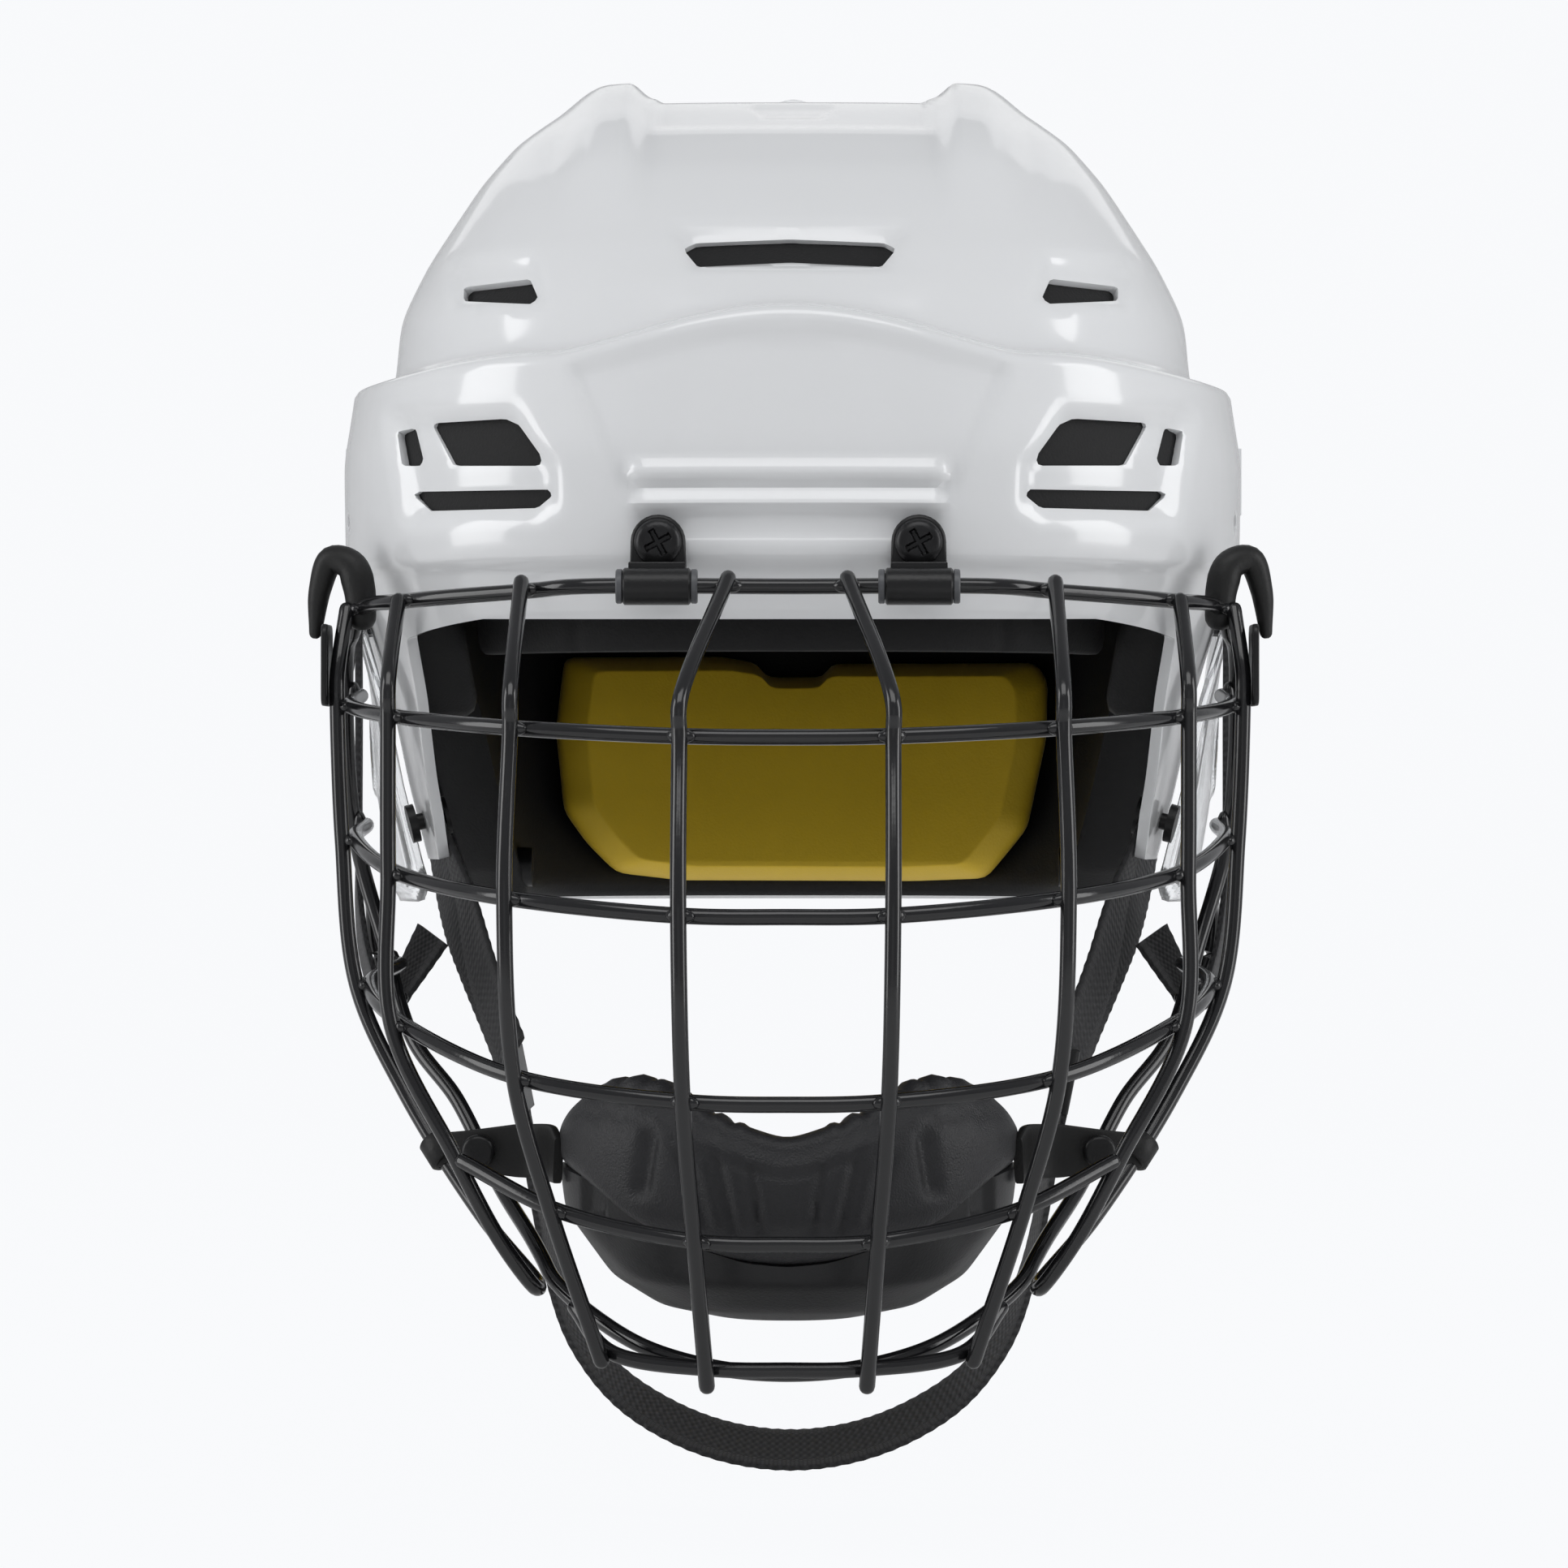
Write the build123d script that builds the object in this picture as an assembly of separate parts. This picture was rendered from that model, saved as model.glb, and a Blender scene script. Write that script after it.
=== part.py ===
from build123d import *
import math
import os

# Ice hockey helmet with a full wire cage, in millimetres.
# +Z is up and the face looks towards -Y, so +X is on the right of a front view.
# The origin is the centre of the head opening.

# Hard shell
shell_width = 217.0
shell_front = 139.0
shell_back = 142.0
band_top = 98.0
crown_top = 166.0
shell_wall = 2.6
ridge_rise = 4.0
ridge_inner = 35.0
ridge_outer = 58.0
arch_rise = 11.0
arch_half_width = 52.0
arch_shoulder_share = 0.72
bar_rise = 1.4
recess_depth = 1.1
plan_power = 2.6
arc_steps = 12
bend_passes = 4
least_reach_share = 1.2
shell_split = 20.0
tongue_length = 25.0
slide_gap = 0.6

# Foam and pads
foam_thickness = 13.0
foam_gap = 0.4
foam_notch = 1.0
brow_pad_height = 26.0
brow_pad_thickness = 8.0
temple_pad_height = 34.0
temple_pad_level = 60.0
temple_pad_thickness = 9.0
crown_pad_thickness = 7.0
crown_pad_width = 30.0
crown_pad_shift_share = 0.75
pad_corner_share = 0.45
rear_pad_thickness = 14.0
rear_pad_bevel = 6.0
rivet_radius = 5.0
rivet_height = 4.0
rivet_back = 50.0
rivet_drop = 21.0
rivet_share = 0.615

# Wire cage
wire = 3.6
weld_sink = 0.25
cage_inset = 2.5
cage_half_width = shell_width / 2 - cage_inset
cage_stand_off = 59.0
cage_reach = shell_front + cage_stand_off
cage_drop = 130.0
hinge_stand_off = 11.0
hinge_height = 44.4
hinge_span_share = 0.4434
hinge_half_span = hinge_span_share * cage_half_width
tag_height = 19.0
kink_rise = 7.0
tag_length = 18.0
tag_wall = 1.5
loop_wire = 3.0
hook_radius = 3.0

# Hinge clips
clip_spacing = 59.0
clip_width = 15.4
bush_width = 1.5
clip_wall = 1.2
bush_wall = 1.1
running_gap = 0.05
clip_plate = 3.6
clip_plate_height = 12.4
clip_screw_rise = 10.1
clip_screw_height = hinge_height + clip_screw_rise
screw_head_radius = 5.5
screw_head_height = 2.2
screw_radius = 2.4
screw_recess = 1.4
screw_cross_width = 1.3
screw_cross_length = 6.0
fit_gap = 0.1
nut_radius = 7.0
nut_thickness = 1.6

# Ear guards
guard_wall = 2.0
guard_gap = 0.3
guard_front = 23.0
guard_back = 40.0
guard_top = 44.0
guard_foot = 29.0
tongue_clearance = 2.0
tongue_foot = guard_top + tongue_clearance
guard_bulge = 9.4
guard_flare = 12.0
guard_port = 9.0
guard_corner = 9.0
guard_screw_radius = 4.0
guard_screw_head = 1.6
guard_screw_drop = 5.5

# Side locks
lock_length = 26.0
lock_height = 13.0
lock_centre_height = 74.0
lock_rim = 1.6
lock_proud = 1.2
lock_end_gap = 4.0
lock_pin = 0.8
lock_barrel = 1.4
lock_plate = 1.7
lock_floor = 0.9
lock_gap = 0.2

# Chin cup
cup_half_width = 53.0
cup_inset = 22.0
cup_front = cage_reach - cup_inset
cup_depth = 50.0
cup_open = cup_front - cup_depth
cup_lift = 9.0
cup_foot = cage_drop - cup_lift
cup_wall = 2.4
cup_pad_thickness = 8.0
cup_pad_gap = 0.2
cup_lip = 9.0
cup_groove = 1.4
cup_groove_level = 86.5
cup_groove_pitch = 4.6
cup_power = 2.3
cup_slot_width = 4.6
cup_slot_height = 11.0
arm_thickness = 2.2
arm_height = 14.0
arm_loop_wall = 1.3
arm_loop_gap = 0.9
stud_radius = 3.8
stud_head = 2.4

# Webbing
webbing = 1.6
webbing_gap = 0.3
harness_width = 18.0
side_strap_width = 15.0
cage_strap_width = 20.0
slider_height = 15.0
slider_thickness = 3.4
slider_wall = 2.4
anchor_radius = 4.6
anchor_head = 2.0
anchor_shank = 2.0
anchor_lift = 0.8
harness_anchor_forward = 48.0
harness_anchor_drop = 9.0
snap_radius = 6.0
snap_height = 2.5

# Visor screw holes
visor_hole_radius = 2.1
visor_hole_forward = 58.0
visor_hole_height = 62.0

# Cutters run past the shell by this reach
shell_reach = 2 * shell_back

# Outline tables of the shell: height, half width, front and back as shares of
# band_top or crown_top, half of shell_width, shell_front and shell_back
band_shares = [
    (-0.430, 0.745, 0.805, 0.745),
    (-0.205, 0.810, 0.865, 0.805),
    (0.000, 0.857, 0.905, 0.880),
    (0.205, 0.895, 0.935, 0.930),
    (0.408, 0.950, 0.964, 0.972),
    (0.540, 0.997, 0.986, 0.986),
    (0.785, 1.000, 1.000, 1.000),
    (1.000, 0.977, 0.978, 0.979),
]
lip_shares = [(0.90, 0.980, 0.980, 0.980), (1.00, 0.982, 0.984, 0.980), (1.14, 0.955, 0.956, 0.958)]
# The crown starts inside the band, below the foam's ledge
foam_depth = 2 * shell_wall + foam_thickness
crown_start_share = (band_top - foam_depth - shell_wall) / crown_top
crown_shares = [
    (crown_start_share, 0.909, 0.885, 0.990),
    (0.602, 0.900, 0.870, 0.986),
    (0.681, 0.883, 0.827, 0.958),
    (0.753, 0.835, 0.763, 0.923),
    (0.813, 0.783, 0.683, 0.866),
    (0.873, 0.715, 0.590, 0.789),
    (0.934, 0.623, 0.460, 0.676),
    (0.982, 0.530, 0.310, 0.521),
    (1.000, 0.479, 0.230, 0.437),
]
ridge_start_share = 0.74
straight_front_share = 0.108
straight_back_share = 0.246

# Side views of the rim: shares of shell_back along Y and of band_top in height
front_rim_shares = [
    (-1.20, 0.368), (-0.79, 0.388), (-0.577, 0.347), (-0.451, -0.082), (-0.394, -0.184),
    (-0.268, -0.184), (-0.183, -0.082), (-0.127, 0.180), (-0.056, 0.265), (0.141, 0.275),
]
liner_rim_shares = [
    (-1.20, 0.430), (-0.79, 0.450), (-0.577, 0.430), (-0.480, 0.160), (-0.250, 0.160), (-0.160, 0.460),
    (0.141, 0.460),
]
rear_rim_shares = [
    (-0.06, 0.275), (0.141, 0.275), (0.197, 0.150), (0.282, -0.224), (0.366, -0.306), (1.20, -0.306),
]

# Front views of the vents and brow panel: shares of half of shell_width and of band_top
vent_upper_shares = [(0.79, 0.856), (0.63, 0.868), (0.603, 0.850), (0.556, 0.744), (0.75, 0.744)]
vent_corner_shares = [(0.885, 0.848), (0.835, 0.852), (0.818, 0.772), (0.872, 0.755)]
vent_lower_shares = [(0.85, 0.682), (0.538, 0.682), (0.563, 0.640), (0.81, 0.628)]
brow_panel_shares = [(-0.47, 0.965), (0.47, 0.965), (0.36, 0.590), (-0.36, 0.590)]
brow_bar_share = 0.336
brow_bar_height_shares = [(0.700, 0.742), (0.630, 0.672)]
crease_shares = [(-1.1, 0.505), (-0.5, 0.492), (0.5, 0.492), (1.1, 0.505), (1.1, 0.2), (-1.1, 0.2)]

# Front views of the crown vents: shares of half of shell_width and of crown_top
vent_crown_shares = [(0.70, 0.693), (0.559, 0.707), (0.545, 0.679), (0.70, 0.674)]
vent_centre_shares = [
    (-0.238, 0.744), (-0.219, 0.750), (0, 0.756), (0.219, 0.750), (0.238, 0.744),
    (0.200, 0.722), (0, 0.730), (-0.200, 0.722),
]
vent_top_shares = [(-0.094, 0.957), (0.094, 0.957), (0.072, 0.927), (-0.072, 0.927)]

# Vents of the sides and the back: shares of shell_back and of crown_top
vent_side_shares = [(0.32, 0.50), (0.62, 0.52), (0.58, 0.56), (0.30, 0.55)]
vent_side_low_shares = [(0.34, 0.34), (0.64, 0.36), (0.60, 0.41), (0.32, 0.40)]
vent_roof_shares = [(0.19, 0.30), (0.25, 0.30), (0.235, 0.50), (0.18, 0.50)]
vent_back_shares = [(0.18, 0.50), (0.42, 0.48), (0.38, 0.55), (0.20, 0.57)]

# Rows of the cage from the brow down. Each holds its crossings with the inner, outer,
# front side and rear side uprights and its end on the rim wire, as shares of
# cage_half_width, cage_reach and cage_drop
row_eye_shares = [
    (0.000, 0.934, 0.079), (0.215, 0.926, 0.081), (0.561, 0.868, 0.095), (0.826, 0.717, 0.116),
    (0.960, 0.510, 0.139), (0.958, 0.366, 0.160),
]
row_nose_shares = [
    (0.000, 1.000, -0.223), (0.213, 0.993, -0.221), (0.566, 0.922, -0.195), (0.822, 0.738, -0.157),
    (0.948, 0.515, -0.100), (0.952, 0.315, -0.075),
]
row_mouth_shares = [
    (0.000, 0.990, -0.538), (0.204, 0.984, -0.534), (0.547, 0.912, -0.500), (0.814, 0.745, -0.418),
    (0.915, 0.530, -0.356), (0.871, 0.359, -0.327),
]
row_chin_shares = [
    (0.000, 0.950, -0.777), (0.181, 0.944, -0.773), (0.478, 0.872, -0.727), (0.687, 0.790, -0.650),
]
row_foot_shares = [
    (0.000, 0.862, -1.000), (0.159, 0.857, -0.998), (0.375, 0.806, -0.975), (0.451, 0.757, -0.905),
]
# The top bar and the hooks follow hinge_height in place of cage_drop
top_bar_shares = [(0.550, 0.718, 0.984), (0.820, 0.611, 0.946), (0.946, 0.475, 0.9135)]
hook_shares = [(0.942, 0.470, 1.025), (0.966, 0.465, 1.151), (1.020, 0.455, 1.127), (1.048, 0.450, 0.796)]
hook_taper_shares = [1.25, 1.15, 0.95, 0.55]
rim_wire_shares = [
    (0.987, 0.385, 0.235), (0.980, 0.308, -0.082), (0.914, 0.328, -0.280), (0.838, 0.404, -0.460),
    (0.734, 0.460, -0.566), (0.634, 0.530, -0.713), (0.555, 0.616, -0.800),
]
lower_bar_shares = [
    (0.500, 0.680, -0.868), (0.410, 0.730, -0.925), (0.284, 0.790, -0.975), (0.100, 0.828, -1.006),
]
hairpin_bend_shares = [(0.705, 0.783, -0.640), (0.610, 0.780, -0.785), (0.540, 0.752, -0.868)]
hairpin_rear_bend_shares = [(0.835, 0.573, -0.545), (0.655, 0.655, -0.760), (0.535, 0.712, -0.868)]
strap_loop_shares = [
    (0.934, 0.308, -0.223), (0.958, 0.182, -0.231), (0.952, 0.169, -0.308), (0.915, 0.182, -0.381),
    (0.905, 0.313, -0.385), (0.867, 0.362, -0.389),
]

# Chin cup: height, half width and front depth as shares of cup_foot, cup_half_width and
# of the way from cup_open to cup_front
cup_shares = [
    (-0.50, 0.93, 0.90), (-0.66, 1.00, 1.00), (-0.80, 0.96, 1.00), (-0.92, 0.76, 0.86), (-1.00, 0.48, 0.58),
]
cup_edge_shares = [
    (1.2, -0.70), (0.99, -0.66), (0.92, -0.583), (0.76, -0.555), (0.58, -0.569), (0.385, -0.614),
    (0.177, -0.647), (0, -0.669), (-0.177, -0.647), (-0.385, -0.614), (-0.58, -0.569), (-0.76, -0.555),
    (-0.92, -0.583), (-0.99, -0.66), (-1.2, -0.70),
]
cup_groove_shares = [(0.06, 0.32), (0.08, 0.30), (0.10, 0.27)]
cup_slot_share = 0.81
arm_place_share = 0.46
arm_span_share = 0.10
inner_top_share = 0.126
upright_share = 0.28
bend_share = 0.42
button_place_share = 0.333
half_share = 0.5

# Routes of the webbing on the right, as shares of half of shell_width, shell_front and
# band_top for the harness, and of the cage's sizes for the cage strap
harness_front_shares = [
    (0.785, 0.345, -0.070), (0.728, 0.388, -0.245), (0.675, 0.475, -0.449), (0.605, 0.567, -0.650),
]
harness_rear_shares = [
    (0.898, -0.065, 0.388), (0.877, -0.058, 0.276), (0.800, 0.100, -0.122), (0.715, 0.302, -0.408),
    (0.618, 0.437, -0.650),
]
slider_place_share = (0.595, 0.510, -0.710)
chin_strap_shares = [
    (0.590, 0.515, -0.760), (0.507, 0.568, -1.190), (0.442, 0.590, -1.347), (0.350, 0.597, -1.459),
    (0.184, 0.612, -1.556), (0.000, 0.615, -1.590),
]
cage_strap_shares = [
    (0.990, 0.187, 0.315), (0.984, 0.202, 0.138), (0.981, 0.230, -0.077), (0.978, 0.243, -0.223),
    (0.962, 0.247, -0.320), (0.940, 0.247, -0.375), (0.910, 0.247, -0.409), (0.880, 0.247, -0.372),
    (0.811, 0.247, -0.277),
]


# Turn round the brow in degrees, then height and thickness shares of the brow pad.
# The low thickness values are its drawn in ends and its channels
brow_pad_shares = [
    (24, 0.45, 0.40), (30, 0.92, 0.80), (42, 1.00, 1.00), (54, 1.00, 0.95), (58, 0.94, 0.62),
    (62, 1.00, 0.95), (76, 1.00, 1.00), (86, 1.00, 0.95), (90, 0.94, 0.62),
]
brow_pad_level = 43.0
# Places along a temple pad, with its height and thickness shares
temple_pad_shares = [
    (-0.46, 0.45, 0.40), (-0.43, 0.85, 0.85), (-0.35, 1.00, 1.00), (-0.27, 0.95, 0.70), (-0.19, 1.00, 1.00),
    (-0.11, 0.85, 0.85), (-0.08, 0.45, 0.40),
]
# Plan of a crown pad: shares of the pad's width across and of shell_front along
crown_pad_shares = [
    (-0.5, -0.22), (-0.3, -0.30), (0.3, -0.30), (0.5, -0.22), (0.5, -0.10), (0.3, -0.05), (-0.3, -0.05),
    (-0.5, -0.10),
]
# Front view of the rear pad: shares of half of shell_width and of band_top
rear_pad_shares = [
    (-0.59, 0.33), (-0.11, 0.33), (-0.09, 0.28), (0.09, 0.28), (0.11, 0.33), (0.59, 0.33), (0.615, 0.10),
    (0.585, -0.10), (0.44, -0.255), (-0.44, -0.255), (-0.585, -0.10), (-0.615, 0.10),
]


def scaled(shares, across, along, height):
    """Places from a table of shares."""
    return [(x * across, -y * along, z * height) for x, y, z in shares]


def mirrored(part):
    """The same part on the other side of the head."""
    return mirror(part, about=Plane.YZ)


def both_sides(part):
    """A left and right pair in one node."""
    return Compound(children=[*part.solids(), *mirrored(part).solids()])


def save(name, part):
    """Write one sub-part."""
    export_step(part, f"parts/{name}.step")


def prism_x(points, reach):
    """Block with a side view outline, as wide as reach on both sides of the middle."""
    outline = Polyline([(-reach, y, z) for y, z in points], close=True)
    return Solid.extrude(Face(Wire(outline.edges())), Vector(2 * reach, 0, 0))


def prism_y(points, near, far):
    """Block with a front view outline, from near to far along Y."""
    outline = Polyline([(x, near, z) for x, z in points], close=True)
    return Solid.extrude(Face(Wire(outline.edges())), Vector(0, far - near, 0))


def prism_z(points, low, high):
    """Block with a plan outline, from low to high."""
    outline = Polyline([(x, y, low) for x, y in points], close=True)
    return Solid.extrude(Face(Wire(outline.edges())), Vector(0, 0, high - low))


def block(low, high):
    """Box between two corners."""
    size = [b - a for a, b in zip(low, high)]
    return Solid.make_box(*size, Plane(low))


def rod(start, end, radius):
    """Round bar between two points."""
    start, end = Vector(*start), Vector(*end)
    return Solid.make_cylinder(radius, (end - start).length, Plane(start, z_dir=end - start))


straight_front = straight_front_share * shell_front
straight_back = straight_back_share * shell_back


def plan_wire(height, half_width, reach, end, heading):
    """Plan outline of one end of the head: a superellipse arc and straight sides up to end.

    heading is -1 for the front end and 1 for the back end.
    """
    straight = straight_front if heading < 0 else straight_back
    reach = max(reach, least_reach_share * straight)
    points = []
    for step in range(arc_steps + 1):
        turn = math.pi * step / arc_steps
        cosine = 1 - 2 * step / arc_steps if step in (0, arc_steps) else math.cos(turn)
        sine = 0 if step in (0, arc_steps) else math.sin(turn)
        across = half_width * math.copysign(abs(cosine) ** (2 / plan_power), cosine)
        along = straight + (reach - straight) * sine ** (2 / plan_power)
        points.append((across, heading * along, height))
    arc = Spline(*points, tangents=((0, heading, 0), (0, -heading, 0)))
    side = heading * straight
    left = Line((-half_width, side, height), (-half_width, end, height))
    across_line = Line((-half_width, end, height), (half_width, end, height))
    right = Line((half_width, end, height), (half_width, side, height))
    return Wire([arc, left, across_line, right])


def tier(shares, top, depth, end, heading, rise=0):
    """One end of a tier: a loft through its plan outlines, drawn in by depth.

    The levels sink by depth, or lift by rise, in proportion to their height in the tier.
    """
    wires = []
    first, last = shares[0][0], shares[-1][0]
    for level, width, front, back in shares:
        height = level * top + (rise - depth) * (level - first) / (last - first)
        reach = front * shell_front if heading < 0 else back * shell_back
        wires.append(plan_wire(height, width * shell_width / 2 - depth, reach - depth, end, heading))
    return Solid.make_loft(wires, True)


def arch_form(depth):
    """The lip that arches over the middle of the brow."""
    ledge = band_top - depth
    half = arch_half_width
    shoulder = ledge + arch_shoulder_share * arch_rise
    arch = [
        (-half, ledge - arch_rise), (-half, ledge), (-half / 2, shoulder), (0, ledge + arch_rise),
        (half / 2, shoulder), (half, ledge), (half, ledge - arch_rise),
    ]
    lip = tier(lip_shares, band_top, depth, 0, -1)
    return lip.intersect(prism_y(arch, -shell_reach, -straight_front - half / 2)).solids()[0]


def head_end(depth, end, heading):
    """One end of the head shape, down to depth below the shell's surface."""
    parts = [tier(crown_shares, crown_top, depth, end, heading)]
    if heading < 0 and depth < 2 * shell_wall:
        parts.append(arch_form(depth))
    if depth == 0:
        ridge = tier(crown_shares, crown_top, depth, end, heading, ridge_rise)
        low, high = -shell_reach if heading < 0 else end, end if heading < 0 else shell_reach
        for x in (-ridge_outer, ridge_inner):
            width = ridge_outer - ridge_inner
            strip = block((x, low, ridge_start_share * crown_top), (x + width, high, 2 * crown_top))
            parts += ridge.intersect(strip).solids()
    return tier(band_shares, band_top, depth, end, heading).fuse(*parts)


def shell_end(outer_depth, inner_depth, end, heading):
    """Wall of one end of the head between two depths."""
    return head_end(outer_depth, end, heading).cut(head_end(inner_depth, end, heading))


def below_rim(rim_shares, extra):
    """Everything under a rim line."""
    rim = [(y * shell_back, z * band_top + extra) for y, z in rim_shares]
    return prism_x(rim + [(rim[-1][0], -shell_reach), (rim[0][0], -shell_reach)], shell_width)


def mirrored_points(points):
    """The outline on the other side."""
    return [(-x, z) for x, z in points]


def front_outline(shares, top):
    """Front view outline from shares of the half width and of a height."""
    return [(x * shell_width / 2, z * top) for x, z in shares]


def front_vents():
    """Cutters of the vents in the front shell."""
    near, far = -shell_reach, -straight_front - arch_half_width / 2
    cutters = []
    for shares, top in (
        (vent_upper_shares, band_top), (vent_corner_shares, band_top), (vent_lower_shares, band_top),
        (vent_crown_shares, crown_top),
    ):
        outline = front_outline(shares, top)
        cutters.append(prism_y(outline, near, far))
        cutters.append(prism_y(mirrored_points(outline), near, far))
    cutters.append(prism_y(front_outline(vent_centre_shares, crown_top), near, far))
    cutters.append(prism_y(front_outline(vent_top_shares, crown_top), near, far))
    return cutters


def rear_vents():
    """Cutters of the vents in the rear shell."""
    cutters = []
    for shares in (vent_side_shares, vent_side_low_shares):
        outline = [(y * shell_back, z * crown_top) for y, z in shares]
        cutters.append(prism_x(outline, shell_width))
    roof = [(x * shell_width, y * shell_back) for x, y in vent_roof_shares]
    cutters.append(prism_z(roof, band_top + arch_rise, 2 * crown_top))
    cutters.append(prism_z(mirrored_points(roof), band_top + arch_rise, 2 * crown_top))
    back = [(x * shell_width, z * crown_top) for x, z in vent_back_shares]
    cutters.append(prism_y(back, shell_back / 2, shell_reach))
    cutters.append(prism_y(mirrored_points(back), shell_back / 2, shell_reach))
    return cutters


def brow_relief(shell):
    """Sunk brow panel, the set back strip under the crease and the raised bars."""
    near, far = -shell_reach, -shell_front / 2
    end = 0
    under_skin = tier(band_shares, band_top, recess_depth, end, -1)
    panel = prism_y(front_outline(brow_panel_shares, band_top), near, far)
    strip = prism_y(front_outline(crease_shares, band_top), near, far)
    shell = shell.cut(panel.cut(under_skin), strip.cut(under_skin))
    bars = []
    proud = tier(band_shares, band_top, -bar_rise, end, -1)
    under_bar = tier(band_shares, band_top, recess_depth + bar_rise / 2, end, -1)
    for low, high in brow_bar_height_shares:
        across = brow_bar_share * shell_width / 2
        bar = block((-across, near, low * band_top), (across, far, high * band_top))
        bars += proud.intersect(bar).solids()[0].cut(under_bar).solids()
    return shell.fuse(*bars)


lock_start = shell_split - lock_end_gap - lock_length
lock_low = lock_centre_height - lock_height / 2
lock_high = lock_centre_height + lock_height / 2


def lock_pocket(extra):
    """Window for the side lock, on the right."""
    return block(
        (shell_width / 2 - shell_wall - recess_depth, lock_start - extra, lock_low - lock_rim - extra),
        (shell_width, lock_start + lock_length + extra, lock_high + lock_rim + extra))


def clip_places():
    """Both clips along X."""
    return (-clip_spacing / 2, clip_spacing / 2)


hinge_forward = shell_front + hinge_stand_off


def visor_bore(radius):
    """Bores through the sides of the shell for a visor or shield."""
    start = (-shell_width, -visor_hole_forward, visor_hole_height)
    return rod(start, (shell_width, -visor_hole_forward, visor_hole_height), radius)


def clip_bores(radius):
    """Holes through the brow for the clip screws."""
    return [
        rod((x, -shell_reach, clip_screw_height), (x, -shell_front / 2, clip_screw_height), radius)
        for x in clip_places()]


guard_screw_level = guard_top - guard_screw_drop
guard_screw_places = (-guard_corner, guard_corner)


def guard_screw_hole(y, start):
    """Hole for a screw of the ear guard, from start outwards on the right."""
    radius = guard_screw_radius / 2 + fit_gap
    return rod((start, y, guard_screw_level), (shell_width, y, guard_screw_level), radius)


def make_front_shell():
    shell = shell_end(0, shell_wall, shell_split, -1)
    shell = brow_relief(shell)
    cutters = front_vents() + clip_bores(screw_radius + fit_gap) + [
        below_rim(front_rim_shares, 0), lock_pocket(fit_gap), mirrored(lock_pocket(fit_gap)),
        visor_bore(visor_hole_radius)]
    for y in guard_screw_places:
        cutters.append(guard_screw_hole(y, -shell_width))
    place, out = anchor_axis()
    hole = rod(place - out * shell_width / 4, place + out * anchor_head, anchor_shank + fit_gap)
    cutters += [hole, mirrored(hole)]
    return shell.cut(*cutters)


web_end = shell_split + slide_gap + 2 * shell_wall


def tier_side(shares, top, depth):
    """Half width and height of the straight side of a tier at its levels."""
    first, last = shares[0][0], shares[-1][0]
    return [
        (width * shell_width / 2 - depth, level * top - depth * (level - first) / (last - first))
        for level, width, _, _ in shares]


def side_at(places, height):
    """Half width between the levels of a tier's side."""
    for (near, low), (far, high) in zip(places, places[1:]):
        if low <= height <= high:
            return near + (far - near) * (height - low) / (high - low)
    return places[-1][0]


def middle_profile(depth):
    """Front view outline of the straight middle of the head at a depth."""
    crown = tier_side(crown_shares, crown_top, depth)
    ledge = band_top - depth
    right = tier_side(band_shares, band_top, depth) + [(side_at(crown, ledge), ledge)]
    right += [(x, z) for x, z in crown if z > ledge]
    return right + mirrored_points(right)[::-1]


def middle_ring(outer_depth, inner_depth, low, high):
    """Wall of the straight middle of the head between two depths."""
    outside = prism_y(middle_profile(outer_depth), low, high)
    return outside.cut(prism_y(middle_profile(inner_depth), low, high))


def under_tongue():
    """Space under the tongue, where the ear guards are screwed on."""
    return block((-shell_width, -shell_reach, -shell_reach), (shell_width, web_end, tongue_foot))


def make_rear_shell():
    shell = shell_end(0, shell_wall, shell_split + slide_gap, 1)
    web = middle_ring(shell_wall / 2, 2 * shell_wall + slide_gap, shell_split + slide_gap, web_end)
    tongue = middle_ring(
        shell_wall + slide_gap, 2 * shell_wall + slide_gap, shell_split - tongue_length, web_end)
    shell = shell.fuse(web, tongue.cut(under_tongue()))
    return shell.cut(below_rim(rear_rim_shares, 0), *rear_vents())


def make_front_liner():
    liner = shell_end(shell_wall + foam_gap, foam_depth, shell_split - tongue_length - slide_gap, -1)
    return liner.cut(
        below_rim(liner_rim_shares, 0), visor_bore(nut_radius), *clip_bores(nut_radius + fit_gap))


def make_rear_liner():
    end = web_end + foam_gap
    liner = shell_end(shell_wall + foam_gap, foam_depth, end, 1)
    collar = middle_ring(
        2 * shell_wall + slide_gap + foam_gap, foam_depth, shell_split - tongue_length, end)
    liner = liner.fuse(collar.cut(under_tongue()))
    return liner.cut(below_rim(rear_rim_shares, foam_notch), pad_rivet(fit_gap), mirrored(pad_rivet(fit_gap)))


def pad_rivet(extra):
    """Rivet in the right inner side of the rear liner, grown by extra."""
    inner = rivet_share * shell_width / 2
    start = (inner, rivet_back, -rivet_drop)
    return rod(start, (inner + rivet_height + extra, rivet_back, -rivet_drop), rivet_radius + extra)


def pad_section(place, along, height_dir, height, thickness):
    """Rounded section of a pad, square to its run."""
    plane = Plane(origin=place, x_dir=height_dir, z_dir=along)
    corner = pad_corner_share * min(height, thickness)
    return (plane * RectangleRounded(height, thickness, corner)).wire()


def arc_place(turn, half_width, front, height):
    """Point on the front plan arc at a turn from the right side."""
    cosine, sine = math.cos(turn), math.sin(turn)
    x = half_width * math.copysign(abs(cosine) ** (2 / plan_power), cosine)
    y = -(straight_front + (front - straight_front) * abs(sine) ** (2 / plan_power))
    return Vector(x, y, height)


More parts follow.
